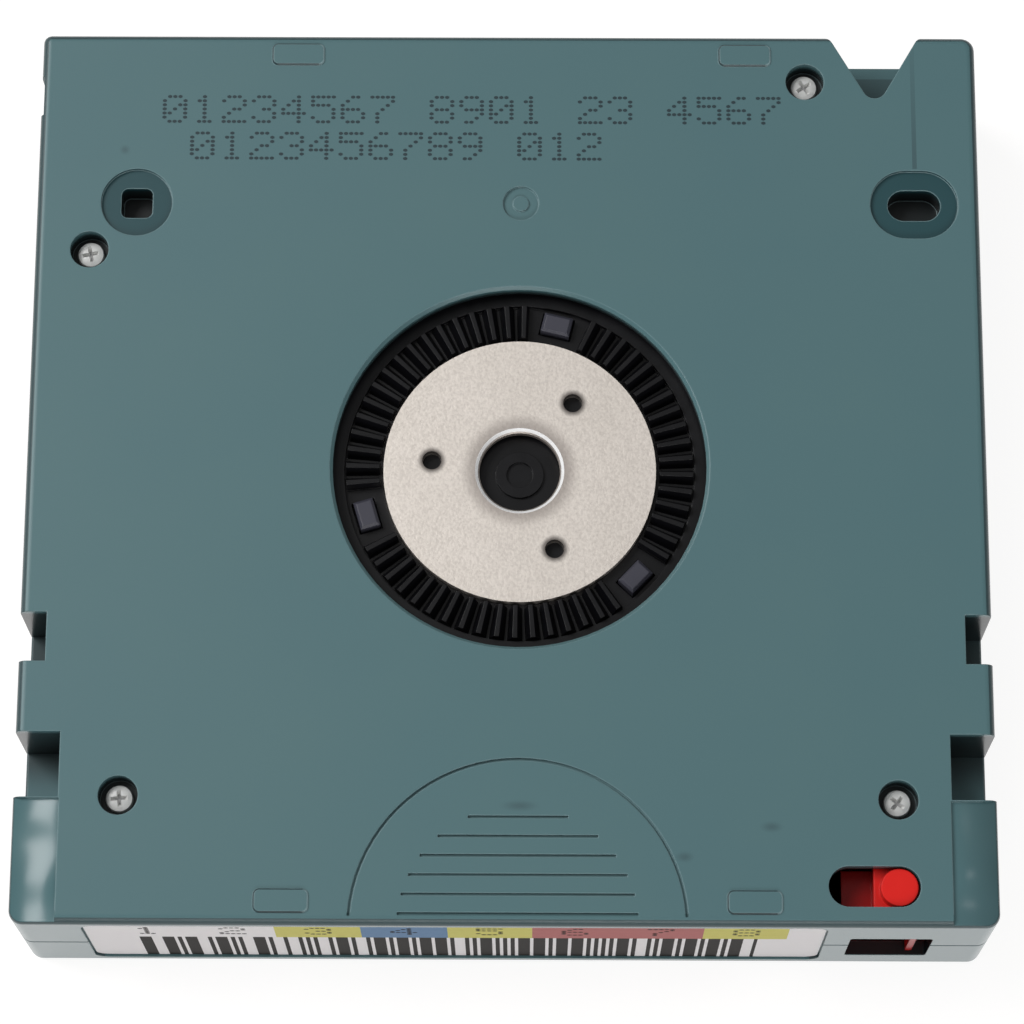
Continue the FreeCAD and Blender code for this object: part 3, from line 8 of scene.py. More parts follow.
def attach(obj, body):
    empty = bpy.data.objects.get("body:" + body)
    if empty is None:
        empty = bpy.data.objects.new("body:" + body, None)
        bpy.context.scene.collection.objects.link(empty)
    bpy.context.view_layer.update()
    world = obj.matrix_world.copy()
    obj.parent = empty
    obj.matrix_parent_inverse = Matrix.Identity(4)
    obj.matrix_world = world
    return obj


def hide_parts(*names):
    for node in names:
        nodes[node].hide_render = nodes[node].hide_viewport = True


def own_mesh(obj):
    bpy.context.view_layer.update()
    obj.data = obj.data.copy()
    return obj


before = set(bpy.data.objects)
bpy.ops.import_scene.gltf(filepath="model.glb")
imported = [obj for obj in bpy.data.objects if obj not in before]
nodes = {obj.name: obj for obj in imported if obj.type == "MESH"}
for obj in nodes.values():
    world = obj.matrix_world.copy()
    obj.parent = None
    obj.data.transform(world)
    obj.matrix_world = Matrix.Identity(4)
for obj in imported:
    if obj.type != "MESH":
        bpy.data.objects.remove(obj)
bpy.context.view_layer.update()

# ---------------------------------------------------------------- top shell
# The lower half of the case, injection moulded in teal ABS with a satin, spark-eroded face.
# The bottom shell's four screws hold it; it carries the post that the brake slides on.


def linear(code):
    """An sRGB hex colour as the linear values that a shader takes."""
    parts = [int(code[i:i + 2], 16) / 255 for i in (1, 3, 5)]
    return tuple(v / 12.92 if v <= 0.04045 else ((v + 0.055) / 1.055) ** 2.4 for v in parts) + (1.0,)


def add_node(material, kind, settings, inputs):
    """A node with its settings, each input a value or the output that feeds it."""
    made = material.node_tree.nodes.new(kind)
    for name, value in settings.items():
        setattr(made, name, value)
    for socket, value in inputs.items():
        if isinstance(value, bpy.types.NodeSocket):
            material.node_tree.links.new(value, made.inputs[socket])
        else:
            made.inputs[socket].default_value = value
    return made


def start_material(name):
    """A new material that holds no node but its Object coordinates, and these in millimetres."""
    material = bpy.data.materials.new(name)
    material.use_nodes = True
    material.node_tree.nodes.clear()
    place = add_node(material, "ShaderNodeTexCoord", {}, {})
    in_mm = add_node(material, "ShaderNodeMapping", {}, {
        "Vector": place.outputs["Object"], "Scale": (1000.0, 1000.0, 1000.0)})
    return material, in_mm.outputs["Vector"]


def finish_material(material, surface):
    """Lead the last shader to the material's output."""
    add_node(material, "ShaderNodeOutputMaterial", {}, {"Surface": surface.outputs[0]})
    return material


def paint(name, material):
    """Give a CAD piece one material all over."""
    slots = nodes[name].data.materials
    slots.clear()
    slots.append(material)


SHELL_TEAL = "#4c6f75"
SHELL_TEAL_WARM = "#527376"
SHELL_RECESS = "#1d484e"
# the rim colour is a painted highlight, the shade and outline colours are painted shade, and the mark colour
# serves real handling marks and a painted crease shade
SHELL_PAINTED_HIGHLIGHT = "#9ab6ba"
SHELL_SHADE = "#0a1113"
SHELL_MARK_AND_CREASE_SHADE = "#33494e"
SHELL_PAINTED_EDGE_SHADE = "#182a2e"
# places on the case in millimetres, from the middle of its table side: INNER is what the outer
# walls enclose, and NOTCH, VEE and STEP say where the open corners begin
CASE_FACE = 21.5
UNDER_FACE = CASE_FACE - 0.15
TABLE_SKIN = 1.2
INNER_X, INNER_Y = 51.2, 49.7
NOTCH_X, NOTCH_Y = 47.6, -15.0
VEE_X, VEE_Y = 35.8, 42.9
STEP_Y = -37.2
STEP_BEND_X = 47.0
WINDOW_CENTRE_X, WINDOW_HALF_WIDTH = 41.7, 4.5
WINDOW_CENTRE_Y, WINDOW_HALF_DEPTH = -49.0, 1.95
WINDOW_CENTRE_Z, WINDOW_HALF_HEIGHT = 9.4, 5.0
# where the painted shade of a faint crease runs on the face
CREASE_SHADE_X, CREASE_SHADE_HALF_WIDTH, CREASE_SHADE_START = 45.55, 0.25, 34.9
LOCATOR_SEATS = ((-41.5, 30.65, 21.05), (45.4, 30.65, 21.05))
LOCATOR_REACH = 5.2
# each mark's X and Y, and how far it is narrowed in X before its distance is taken
FAINT_MARKS = ((1.6, -38.1, 0.3), (19.2, -43.6, 0.6), (28.5, -40.3, 0.5), (-43.0, 36.9, 1.0))
FAINT_MARK_RADIUS = 0.75

teal_abs, shell_mm = start_material("abs_moulded_teal")
# cloudy tone of the moulding, patches about 18 mm across
cloud = add_node(teal_abs, "ShaderNodeTexNoise", {}, {
    "Vector": shell_mm, "Scale": 0.055, "Detail": 3.0})
tone = add_node(teal_abs, "ShaderNodeMix", {"data_type": "RGBA"}, {
    "Factor": cloud.outputs["Fac"], 6: linear(SHELL_TEAL), 7: linear(SHELL_TEAL_WARM)})
shell_place = add_node(teal_abs, "ShaderNodeSeparateXYZ", {}, {"Vector": shell_mm})
shell_form = add_node(teal_abs, "ShaderNodeNewGeometry", {}, {})
facing = add_node(teal_abs, "ShaderNodeSeparateXYZ", {}, {"Vector": shell_form.outputs["True Normal"]})
level = add_node(teal_abs, "ShaderNodeMath", {"operation": "GREATER_THAN"}, {
    0: facing.outputs["Z"], 1: 0.9})

# faint marks of handling on the hub side, most of them drawn out along X
marks = None
for mark_x, mark_y, narrowing in FAINT_MARKS:
    drawn_in = add_node(teal_abs, "ShaderNodeVectorMath", {"operation": "MULTIPLY"}, {
        0: shell_mm, 1: (narrowing, 1.0, 1.0)})
    away = add_node(teal_abs, "ShaderNodeVectorMath", {"operation": "DISTANCE"}, {
        0: drawn_in.outputs["Vector"], 1: (mark_x * narrowing, mark_y, CASE_FACE)})
    spot = add_node(teal_abs, "ShaderNodeMapRange", {"clamp": True, "interpolation_type": "SMOOTHSTEP"}, {
        "Value": away.outputs["Value"], "From Min": 0.0, "From Max": FAINT_MARK_RADIUS,
        "To Min": 0.5, "To Max": 0.0})
    marks = spot.outputs["Result"] if marks is None else add_node(
        teal_abs, "ShaderNodeMath", {"operation": "MAXIMUM"}, {
            0: marks, 1: spot.outputs["Result"]}).outputs[0]
# painted shade of a faint crease: a thin dark line on the flat face, fading from the long locator to the
# leading edge
crease_near = add_node(teal_abs, "ShaderNodeMath", {"operation": "COMPARE"}, {
    0: shell_place.outputs["X"], 1: CREASE_SHADE_X, 2: CREASE_SHADE_HALF_WIDTH})
crease_ahead = add_node(teal_abs, "ShaderNodeMath", {"operation": "GREATER_THAN"}, {
    0: shell_place.outputs["Y"], 1: CREASE_SHADE_START})
crease_fades = add_node(teal_abs, "ShaderNodeMapRange", {"clamp": True}, {
    "Value": shell_place.outputs["Y"], "From Min": 35.0, "From Max": 49.0, "To Min": 0.6, "To Max": 0.15})
crease_shade_line = add_node(teal_abs, "ShaderNodeMath", {"operation": "MULTIPLY"}, {
    0: crease_near.outputs[0], 1: crease_ahead.outputs[0]})
crease_shade_faded = add_node(teal_abs, "ShaderNodeMath", {"operation": "MULTIPLY"}, {
    0: crease_shade_line.outputs[0], 1: crease_fades.outputs["Result"]})
# the painted crease shade, kept to the flat face
flow = add_node(teal_abs, "ShaderNodeMath", {"operation": "MULTIPLY"}, {
    0: crease_shade_faded.outputs[0], 1: level.outputs[0]})
# the real handling marks and the painted crease shade together
marks_and_crease_shade = add_node(teal_abs, "ShaderNodeMath", {"operation": "MAXIMUM"}, {0: marks, 1: flow.outputs[0]})
marked_tone_with_crease_shade = add_node(teal_abs, "ShaderNodeMix", {"data_type": "RGBA"}, {
    "Factor": marks_and_crease_shade.outputs[0], 6: tone.outputs[2], 7: linear(SHELL_MARK_AND_CREASE_SHADE)})

# the locators' seats, a little below the face, are deeper in tone
seat_mask = None
for centre in LOCATOR_SEATS:
    away = add_node(teal_abs, "ShaderNodeVectorMath", {"operation": "DISTANCE"}, {0: shell_mm, 1: centre})
    near = add_node(teal_abs, "ShaderNodeMath", {"operation": "LESS_THAN"}, {
        0: away.outputs["Value"], 1: LOCATOR_REACH})
    seat_mask = near.outputs[0] if seat_mask is None else add_node(
        teal_abs, "ShaderNodeMath", {"operation": "MAXIMUM"}, {
            0: seat_mask, 1: near.outputs[0]}).outputs[0]
under_face = add_node(teal_abs, "ShaderNodeMath", {"operation": "LESS_THAN"}, {
    0: shell_place.outputs["Z"], 1: UNDER_FACE})
seats = add_node(teal_abs, "ShaderNodeMath", {"operation": "MULTIPLY"}, {
    0: seat_mask, 1: under_face.outputs[0]})
seat_tone = add_node(teal_abs, "ShaderNodeMix", {"data_type": "RGBA"}, {
    "Factor": seats.outputs[0], 6: marked_tone_with_crease_shade.outputs[2], 7: linear(SHELL_RECESS)})

# painted shade below the face in the holes, the counterbores and the slot, which lie away from
# the outer walls; the notches, the corner steps and the V are open and are left out here
outward = add_node(teal_abs, "ShaderNodeVectorMath", {"operation": "ABSOLUTE"}, {0: shell_mm})
spread = add_node(teal_abs, "ShaderNodeSeparateXYZ", {}, {"Vector": outward.outputs["Vector"]})
within_x = add_node(teal_abs, "ShaderNodeMath", {"operation": "LESS_THAN"}, {
    0: spread.outputs["X"], 1: INNER_X})
within_y = add_node(teal_abs, "ShaderNodeMath", {"operation": "LESS_THAN"}, {
    0: spread.outputs["Y"], 1: INNER_Y})
within = add_node(teal_abs, "ShaderNodeMath", {"operation": "MULTIPLY"}, {
    0: within_x.outputs[0], 1: within_y.outputs[0]})
at_side = add_node(teal_abs, "ShaderNodeMath", {"operation": "GREATER_THAN"}, {
    0: spread.outputs["X"], 1: NOTCH_X})
at_rear = add_node(teal_abs, "ShaderNodeMath", {"operation": "LESS_THAN"}, {
    0: shell_place.outputs["Y"], 1: NOTCH_Y})
in_notch = add_node(teal_abs, "ShaderNodeMath", {"operation": "MULTIPLY"}, {
    0: at_side.outputs[0], 1: at_rear.outputs[0]})
at_right = add_node(teal_abs, "ShaderNodeMath", {"operation": "GREATER_THAN"}, {
    0: shell_place.outputs["X"], 1: VEE_X})
at_front = add_node(teal_abs, "ShaderNodeMath", {"operation": "GREATER_THAN"}, {
    0: shell_place.outputs["Y"], 1: VEE_Y})
in_vee = add_node(teal_abs, "ShaderNodeMath", {"operation": "MULTIPLY"}, {
    0: at_right.outputs[0], 1: at_front.outputs[0]})
in_open = add_node(teal_abs, "ShaderNodeMath", {"operation": "MAXIMUM"}, {
    0: in_notch.outputs[0], 1: in_vee.outputs[0]})
in_holes = add_node(teal_abs, "ShaderNodeMath", {"operation": "SUBTRACT", "use_clamp": True}, {
    0: within.outputs[0], 1: in_open.outputs[0]})
below = add_node(teal_abs, "ShaderNodeMapRange", {"clamp": True, "interpolation_type": "SMOOTHSTEP"}, {
    "Value": shell_place.outputs["Z"], "From Min": CASE_FACE - 1.5, "From Max": CASE_FACE - 0.2,
    "To Min": 0.95, "To Max": 0.0})
inside = add_node(teal_abs, "ShaderNodeMath", {"operation": "GREATER_THAN"}, {
    0: shell_place.outputs["Z"], 1: TABLE_SKIN})
below_inside = add_node(teal_abs, "ShaderNodeMath", {"operation": "MULTIPLY"}, {
    0: inside.outputs[0], 1: below.outputs["Result"]})
sunk_holes = add_node(teal_abs, "ShaderNodeMath", {"operation": "MULTIPLY"}, {
    0: in_holes.outputs[0], 1: below_inside.outputs[0]})
# painted shade: the V gets less of it; in the notches, the walls that face the label are painted dark,
# and the floor ahead of the corner steps carries a painted shadow of those walls
vee_inside = add_node(teal_abs, "ShaderNodeMath", {"operation": "MULTIPLY"}, {
    0: in_vee.outputs[0], 1: within.outputs[0]})
vee_share = add_node(teal_abs, "ShaderNodeMath", {"operation": "MULTIPLY"}, {
    0: vee_inside.outputs[0], 1: 0.4})
sunk_vee = add_node(teal_abs, "ShaderNodeMath", {"operation": "MULTIPLY"}, {
    0: vee_share.outputs[0], 1: below_inside.outputs[0]})
step_side = add_node(teal_abs, "ShaderNodeMath", {"operation": "LESS_THAN"}, {
    0: shell_place.outputs["Y"], 1: STEP_Y})
notch_only = add_node(teal_abs, "ShaderNodeMath", {"operation": "SUBTRACT", "use_clamp": True}, {
    0: in_notch.outputs[0], 1: step_side.outputs[0]})
notch_wall = add_node(teal_abs, "ShaderNodeMath", {"operation": "LESS_THAN"}, {
    0: facing.outputs["Y"], 1: -0.4})
notch_floor = add_node(teal_abs, "ShaderNodeMapRange", {"clamp": True, "interpolation_type": "SMOOTHSTEP"}, {
    "Value": shell_place.outputs["Y"], "From Min": -35.0, "From Max": -30.5, "To Min": 0.0, "To Max": 0.8})
notch_low = add_node(teal_abs, "ShaderNodeMath", {"operation": "MULTIPLY"}, {
    0: notch_floor.outputs["Result"], 1: level.outputs[0]})
notch_dark = add_node(teal_abs, "ShaderNodeMath", {"operation": "MAXIMUM"}, {
    0: notch_wall.outputs[0], 1: notch_low.outputs[0]})
notch_share = add_node(teal_abs, "ShaderNodeMath", {"operation": "MULTIPLY"}, {
    0: notch_dark.outputs[0], 1: below.outputs["Result"]})
sunk_notch = add_node(teal_abs, "ShaderNodeMath", {"operation": "MULTIPLY"}, {
    0: notch_share.outputs[0], 1: notch_only.outputs[0]})
sunk_open = add_node(teal_abs, "ShaderNodeMath", {"operation": "MAXIMUM"}, {
    0: sunk_vee.outputs[0], 1: sunk_notch.outputs[0]})
# painted shade on the walls of the slider's window in the rear wall too
window_across = add_node(teal_abs, "ShaderNodeMath", {"operation": "COMPARE"}, {
    0: shell_place.outputs["X"], 1: WINDOW_CENTRE_X, 2: WINDOW_HALF_WIDTH})
window_up = add_node(teal_abs, "ShaderNodeMath", {"operation": "COMPARE"}, {
    0: shell_place.outputs["Z"], 1: WINDOW_CENTRE_Z, 2: WINDOW_HALF_HEIGHT})
window_deep = add_node(teal_abs, "ShaderNodeMath", {"operation": "COMPARE"}, {
    0: shell_place.outputs["Y"], 1: WINDOW_CENTRE_Y, 2: WINDOW_HALF_DEPTH})
window_here = add_node(teal_abs, "ShaderNodeMath", {"operation": "MULTIPLY"}, {
    0: window_across.outputs[0], 1: window_up.outputs[0]})
window_painted_shade = add_node(teal_abs, "ShaderNodeMath", {"operation": "MULTIPLY"}, {
    0: window_here.outputs[0], 1: window_deep.outputs[0]})
sunk_more = add_node(teal_abs, "ShaderNodeMath", {"operation": "MAXIMUM"}, {
    0: sunk_open.outputs[0], 1: window_painted_shade.outputs[0]})
sunk = add_node(teal_abs, "ShaderNodeMath", {"operation": "MAXIMUM"}, {
    0: sunk_holes.outputs[0], 1: sunk_more.outputs[0]})
# all the painted shade mixes the tone toward the shade colour
shaded = add_node(teal_abs, "ShaderNodeMix", {"data_type": "RGBA"}, {
    "Factor": sunk.outputs[0], 6: seat_tone.outputs[2], 7: linear(SHELL_SHADE)})

# painted highlight along the 0.2 mm round of the inner edges, most of all at the locators' seats
soft = add_node(teal_abs, "ShaderNodeBevel", {"samples": 4}, {"Radius": 0.0002})
turned = add_node(teal_abs, "ShaderNodeVectorMath", {"operation": "DOT_PRODUCT"}, {
    0: soft.outputs["Normal"], 1: shell_form.outputs["True Normal"]})
edge = add_node(teal_abs, "ShaderNodeMapRange", {"clamp": True}, {
    "Value": turned.outputs["Value"], "From Min": 0.98, "From Max": 0.80, "To Min": 0.0, "To Max": 0.6})
seat_edge = add_node(teal_abs, "ShaderNodeMath", {"operation": "MULTIPLY_ADD", "use_clamp": True}, {
    0: edge.outputs["Result"], 1: seats.outputs[0], 2: edge.outputs["Result"]})
rim = add_node(teal_abs, "ShaderNodeMath", {"operation": "MULTIPLY"}, {
    0: seat_edge.outputs[0], 1: within.outputs[0]})
rim_lit = add_node(teal_abs, "ShaderNodeMix", {"data_type": "RGBA"}, {
    "Factor": rim.outputs[0], 6: shaded.outputs[2], 7: linear(SHELL_PAINTED_HIGHLIGHT)})
# painted shade: the polished outer rounds are mixed toward a darker tone
rounded = add_node(teal_abs, "ShaderNodeMath", {"operation": "COMPARE"}, {
    0: facing.outputs["Z"], 1: 0.55, 2: 0.38})
outside = add_node(teal_abs, "ShaderNodeMath", {"operation": "SUBTRACT"}, {
    0: 1.0, 1: within.outputs[0]})
outer_round = add_node(teal_abs, "ShaderNodeMath", {"operation": "MULTIPLY"}, {
    0: rounded.outputs[0], 1: outside.outputs[0]})
edge_shade_share = add_node(teal_abs, "ShaderNodeMath", {"operation": "MULTIPLY"}, {
    0: outer_round.outputs[0], 1: 0.7})
edge_shaded = add_node(teal_abs, "ShaderNodeMix", {"data_type": "RGBA"}, {
    "Factor": edge_shade_share.outputs[0], 6: rim_lit.outputs[2], 7: linear(SHELL_PAINTED_EDGE_SHADE)})
# painted shade and painted highlight on the stacking ribs: dark along their left and label sides and light
# along the right
rib_high = add_node(teal_abs, "ShaderNodeMath", {"operation": "GREATER_THAN"}, {
    0: shell_place.outputs["Z"], 1: CASE_FACE + 0.01})
rib_slope = add_node(teal_abs, "ShaderNodeMath", {"operation": "LESS_THAN"}, {
    0: facing.outputs["Z"], 1: 0.97})
rib_side = add_node(teal_abs, "ShaderNodeMath", {"operation": "MULTIPLY"}, {
    0: rib_high.outputs[0], 1: rib_slope.outputs[0]})
rib_painted_light = add_node(teal_abs, "ShaderNodeMapRange", {"clamp": True}, {
    "Value": facing.outputs["X"], "From Min": 0.0, "From Max": 0.5, "To Min": 0.0, "To Max": 1.0})
rib_painted_tone = add_node(teal_abs, "ShaderNodeMix", {"data_type": "RGBA"}, {
    "Factor": rib_painted_light.outputs["Result"], 6: linear(SHELL_PAINTED_EDGE_SHADE), 7: linear(SHELL_PAINTED_HIGHLIGHT)})
rib_share = add_node(teal_abs, "ShaderNodeMath", {"operation": "MULTIPLY"}, {
    0: rib_side.outputs[0], 1: 0.8})
ribbed = add_node(teal_abs, "ShaderNodeMix", {"data_type": "RGBA"}, {
    "Factor": rib_share.outputs[0], 6: edge_shaded.outputs[2], 7: rib_painted_tone.outputs[2]})

# spark-eroded grain, pits about 0.25 mm across
grain = add_node(teal_abs, "ShaderNodeTexNoise", {}, {
    "Vector": shell_mm, "Scale": 4.0, "Detail": 3.0})
eroded = add_node(teal_abs, "ShaderNodeBump", {}, {
    "Height": grain.outputs["Fac"], "Strength": 0.22, "Distance": 0.00003,
    "Normal": soft.outputs["Normal"]})
# the corner steps are polished and fall away to the side in moulding, so that they reflect in waves
step_here = add_node(teal_abs, "ShaderNodeMath", {"operation": "MULTIPLY"}, {
    0: step_side.outputs[0], 1: under_face.outputs[0]})
step_level = add_node(teal_abs, "ShaderNodeMath", {"operation": "MULTIPLY"}, {
    0: step_here.outputs[0], 1: level.outputs[0]})
step = add_node(teal_abs, "ShaderNodeMath", {"operation": "MULTIPLY"}, {
    0: step_level.outputs[0], 1: at_side.outputs[0]})
sink_wave = add_node(teal_abs, "ShaderNodeTexNoise", {}, {
    "Vector": shell_mm, "Scale": 0.16, "Detail": 0.0})
sink_start = add_node(teal_abs, "ShaderNodeMath", {"operation": "SUBTRACT"}, {
    0: spread.outputs["X"], 1: STEP_BEND_X})
sink_curve = add_node(teal_abs, "ShaderNodeMath", {"operation": "POWER"}, {
    0: sink_start.outputs[0], 1: 2.0})
sink = add_node(teal_abs, "ShaderNodeMath", {"operation": "MULTIPLY_ADD"}, {
    0: sink_curve.outputs[0], 1: -0.065, 2: sink_wave.outputs["Fac"]})
waved = add_node(teal_abs, "ShaderNodeBump", {}, {
    "Height": sink.outputs[0], "Strength": 1.0, "Distance": 0.001,
    "Normal": soft.outputs["Normal"]})
relief = add_node(teal_abs, "ShaderNodeMix", {"data_type": "VECTOR"}, {
    "Factor": step.outputs[0], 4: eroded.outputs["Normal"], 5: waved.outputs["Normal"]})
# faces toward the hub side are matt, and all others are polished
polish = add_node(teal_abs, "ShaderNodeMapRange", {"clamp": True}, {
    "Value": facing.outputs["Z"], "From Min": 0.3, "From Max": 0.95, "To Min": 0.2, "To Max": 0.44})
gloss = add_node(teal_abs, "ShaderNodeMix", {"data_type": "FLOAT"}, {
    "Factor": step.outputs[0], 2: polish.outputs["Result"], 3: 0.24})
finish_material(teal_abs, add_node(teal_abs, "ShaderNodeBsdfPrincipled", {}, {
    "Base Color": ribbed.outputs[2], "Roughness": gloss.outputs[0], "Normal": relief.outputs[1],
    "IOR": 1.53}))
paint("top_shell", teal_abs)

# ---------------------------------------------------------------- bottom shell
# The upper half of the case with the hub opening, from the same teal ABS.
# The walls of its recesses and the rear corner steps are left polished by the mould.

paint("bottom_shell", teal_abs)

# ---------------------------------------------------------------- reel
# The hub is moulded in black glass-filled polycarbonate with sixty drive teeth; the loose flange is
# welded on it, and the tape is wound between them.

REEL_AXIS = (1.45, 0.0)


def moulded_black(name, code, grey_code, roughness):
    """Black plastic from a polished mould, with the faint grey haze of handling."""
    material, mm = start_material(name)
    haze = add_node(material, "ShaderNodeTexNoise", {}, {
        "Vector": mm, "Scale": 0.35, "Detail": 4.0})
    tone = add_node(material, "ShaderNodeMix", {"data_type": "RGBA"}, {
        "Factor": haze.outputs["Fac"], 6: linear(code), 7: linear(grey_code)})
    soft = add_node(material, "ShaderNodeBevel", {"samples": 3}, {"Radius": 0.00012})
    rough = add_node(material, "ShaderNodeMapRange", {"clamp": True}, {
        "Value": haze.outputs["Fac"], "To Min": roughness - 0.05, "To Max": roughness + 0.08})
    body = add_node(material, "ShaderNodeBsdfPrincipled", {}, {
        "Base Color": tone.outputs[2], "Roughness": rough.outputs["Result"],
        "Normal": soft.outputs["Normal"], "IOR": 1.58, "Specular IOR Level": 0.3})
    return finish_material(material, body)


hub_black = moulded_black("polycarbonate_moulded_black", "#050507", "#0d0d11", 0.34)
paint("reel_hub", hub_black)
flange_grey = moulded_black("polycarbonate_moulded_smoke", "#26272b", "#303136", 0.3)
paint("reel_top_flange", flange_grey)

tape_brown, tape_mm = start_material("metal_particle_tape_wound")
# the edges of the wound tape show as rings, drawn 0.35 mm apart instead of one to a layer
rings = add_node(tape_brown, "ShaderNodeTexWave", {
    "wave_type": "RINGS", "rings_direction": "Z", "wave_profile": "SAW"}, {
    "Vector": add_node(tape_brown, "ShaderNodeMapping", {}, {
        "Vector": tape_mm, "Location": (-REEL_AXIS[0], -REEL_AXIS[1], 0.0)}).outputs["Vector"],
    "Scale": 0.9, "Distortion": 0.6, "Detail": 2.0})
finish_material(tape_brown, add_node(tape_brown, "ShaderNodeBsdfPrincipled", {}, {
    "Base Color": add_node(tape_brown, "ShaderNodeMix", {"data_type": "RGBA"}, {
        "Factor": rings.outputs["Fac"], 6: linear("#2a211c"), 7: linear("#3a2f28")}).outputs[2],
    "Roughness": 0.28}))
paint("tape_pack", tape_brown)
paint("tape_leader", tape_brown)

# ---------------------------------------------------------------- drive plate
# A stamped disc of magnetic stainless steel, bead blasted and let into the hub.
# The plate is darker in a bloom round its three holes.

PLATE_FACE = 19.5
BORE_RIM_HEIGHT = 19.45
PLATE_HOLE_CIRCLE = 9.75
PLATE_HOLE_TURN = 53.3
# where the bore's painted highlight lies
BORE_HIGHLIGHT_RADIUS, BORE_HIGHLIGHT_HALF_WIDTH = 4.76, 0.15
DULL_BAND_INNER, DULL_BAND_OUTER = 4.95, 6.9
BLOOM_INNER, BLOOM_OUTER = 1.0, 1.75

blasted_steel, steel_mm = start_material("stainless_steel_blasted")
# the blasted grain is drawn 0.3 mm coarse, so that it shows
grit = add_node(blasted_steel, "ShaderNodeTexNoise", {}, {
    "Vector": steel_mm, "Scale": 3.2, "Detail": 4.0})
patch = add_node(blasted_steel, "ShaderNodeTexNoise", {}, {
    "Vector": steel_mm, "Scale": 0.12, "Detail": 2.0})
steel_tone = add_node(blasted_steel, "ShaderNodeMix", {"data_type": "RGBA"}, {
    "Factor": patch.outputs["Fac"], 6: linear("#ebe3da"), 7: linear("#faf2ea")})
grit_spread = add_node(blasted_steel, "ShaderNodeMapRange", {"clamp": True}, {
    "Value": grit.outputs["Fac"], "From Min": 0.35, "From Max": 0.6, "To Min": 0.18, "To Max": 0.0})
gritted = add_node(blasted_steel, "ShaderNodeMix", {"data_type": "RGBA"}, {
    "Factor": grit_spread.outputs["Result"], 6: steel_tone.outputs[2], 7: linear("#8e857e")})
bloom = None
for turn in (0, 120, 240):
    angle = math.radians(PLATE_HOLE_TURN + turn)
    centre = (REEL_AXIS[0] + PLATE_HOLE_CIRCLE * math.cos(angle),
              REEL_AXIS[1] + PLATE_HOLE_CIRCLE * math.sin(angle), PLATE_FACE)
    away = add_node(blasted_steel, "ShaderNodeVectorMath", {"operation": "DISTANCE"}, {
        0: steel_mm, 1: centre})
    ring = add_node(blasted_steel, "ShaderNodeMapRange", {
        "clamp": True, "interpolation_type": "SMOOTHSTEP"}, {
            "Value": away.outputs["Value"], "From Min": BLOOM_INNER, "From Max": BLOOM_OUTER,
            "To Min": 0.85, "To Max": 0.0})
    bloom = ring.outputs["Result"] if bloom is None else add_node(
        blasted_steel, "ShaderNodeMath", {"operation": "MAXIMUM"}, {
            0: bloom, 1: ring.outputs["Result"]}).outputs[0]
bloomed = add_node(blasted_steel, "ShaderNodeMix", {"data_type": "RGBA"}, {
    "Factor": bloom, 6: gritted.outputs[2], 7: linear("#4c4542")})
# a painted highlight, a bright ring round the bore where light catches its chamfer, and a darker band
# outside it
bore_away = add_node(blasted_steel, "ShaderNodeVectorMath", {"operation": "DISTANCE"}, {
    0: steel_mm, 1: (REEL_AXIS[0], REEL_AXIS[1], BORE_RIM_HEIGHT)})
dull = add_node(blasted_steel, "ShaderNodeMapRange", {
    "clamp": True, "interpolation_type": "SMOOTHSTEP"}, {
        "Value": bore_away.outputs["Value"], "From Min": DULL_BAND_INNER, "From Max": DULL_BAND_OUTER,
        "To Min": 0.7, "To Max": 0.0})
dulled = add_node(blasted_steel, "ShaderNodeMix", {"data_type": "RGBA"}, {
    "Factor": dull.outputs["Result"], 6: bloomed.outputs[2], 7: linear("#a69d97")})
bright = add_node(blasted_steel, "ShaderNodeMath", {"operation": "COMPARE"}, {
    0: bore_away.outputs["Value"], 1: BORE_HIGHLIGHT_RADIUS, 2: BORE_HIGHLIGHT_HALF_WIDTH})
bore_highlighted = add_node(blasted_steel, "ShaderNodeMix", {"data_type": "RGBA"}, {
    "Factor": bright.outputs[0], 6: dulled.outputs[2], 7: linear("#ffffff")})
# the painted highlight is made almost not metallic, so that it shows white
highlight_metal = add_node(blasted_steel, "ShaderNodeMapRange", {"clamp": True}, {
    "Value": bright.outputs[0], "To Min": 1.0, "To Max": 0.15})
steel_bump = add_node(blasted_steel, "ShaderNodeBump", {}, {
    "Height": grit.outputs["Fac"], "Strength": 0.5, "Distance": 0.00004})
finish_material(blasted_steel, add_node(blasted_steel, "ShaderNodeBsdfPrincipled", {}, {
    "Base Color": bore_highlighted.outputs[2], "Metallic": highlight_metal.outputs["Result"], "Roughness": 0.52,
    "Normal": steel_bump.outputs["Normal"]}))
paint("reel_drive_plate", blasted_steel)

# ---------------------------------------------------------------- brake and release spider
# The brake is moulded in natural acetal and slides on the top shell's post; the spider that frees it
# is dark grey acetal. The brake's spring is of drawn steel wire and closes as the brake is pushed in.


def moulded_satin(name, code, second_code):
    """Plain plastic from a satin mould: waxy and even, its edges softened by 0.15 mm."""
    material, mm = start_material(name)
    flow = add_node(material, "ShaderNodeTexNoise", {}, {"Vector": mm, "Scale": 0.2, "Detail": 2.0})
    tone = add_node(material, "ShaderNodeMix", {"data_type": "RGBA"}, {
        "Factor": flow.outputs["Fac"], 6: linear(code), 7: linear(second_code)})
    soft = add_node(material, "ShaderNodeBevel", {"samples": 4}, {"Radius": 0.00015})
    body = add_node(material, "ShaderNodeBsdfPrincipled", {}, {
        "Base Color": tone.outputs[2], "Roughness": 0.4, "Normal": soft.outputs["Normal"], "IOR": 1.48})
    return finish_material(material, body)


paint("brake_ring", moulded_satin("acetal_moulded_natural", "#d8d6cc", "#e2e0d8"))
paint("release_spider", moulded_satin("acetal_moulded_grey", "#3a3a44", "#44444e"))


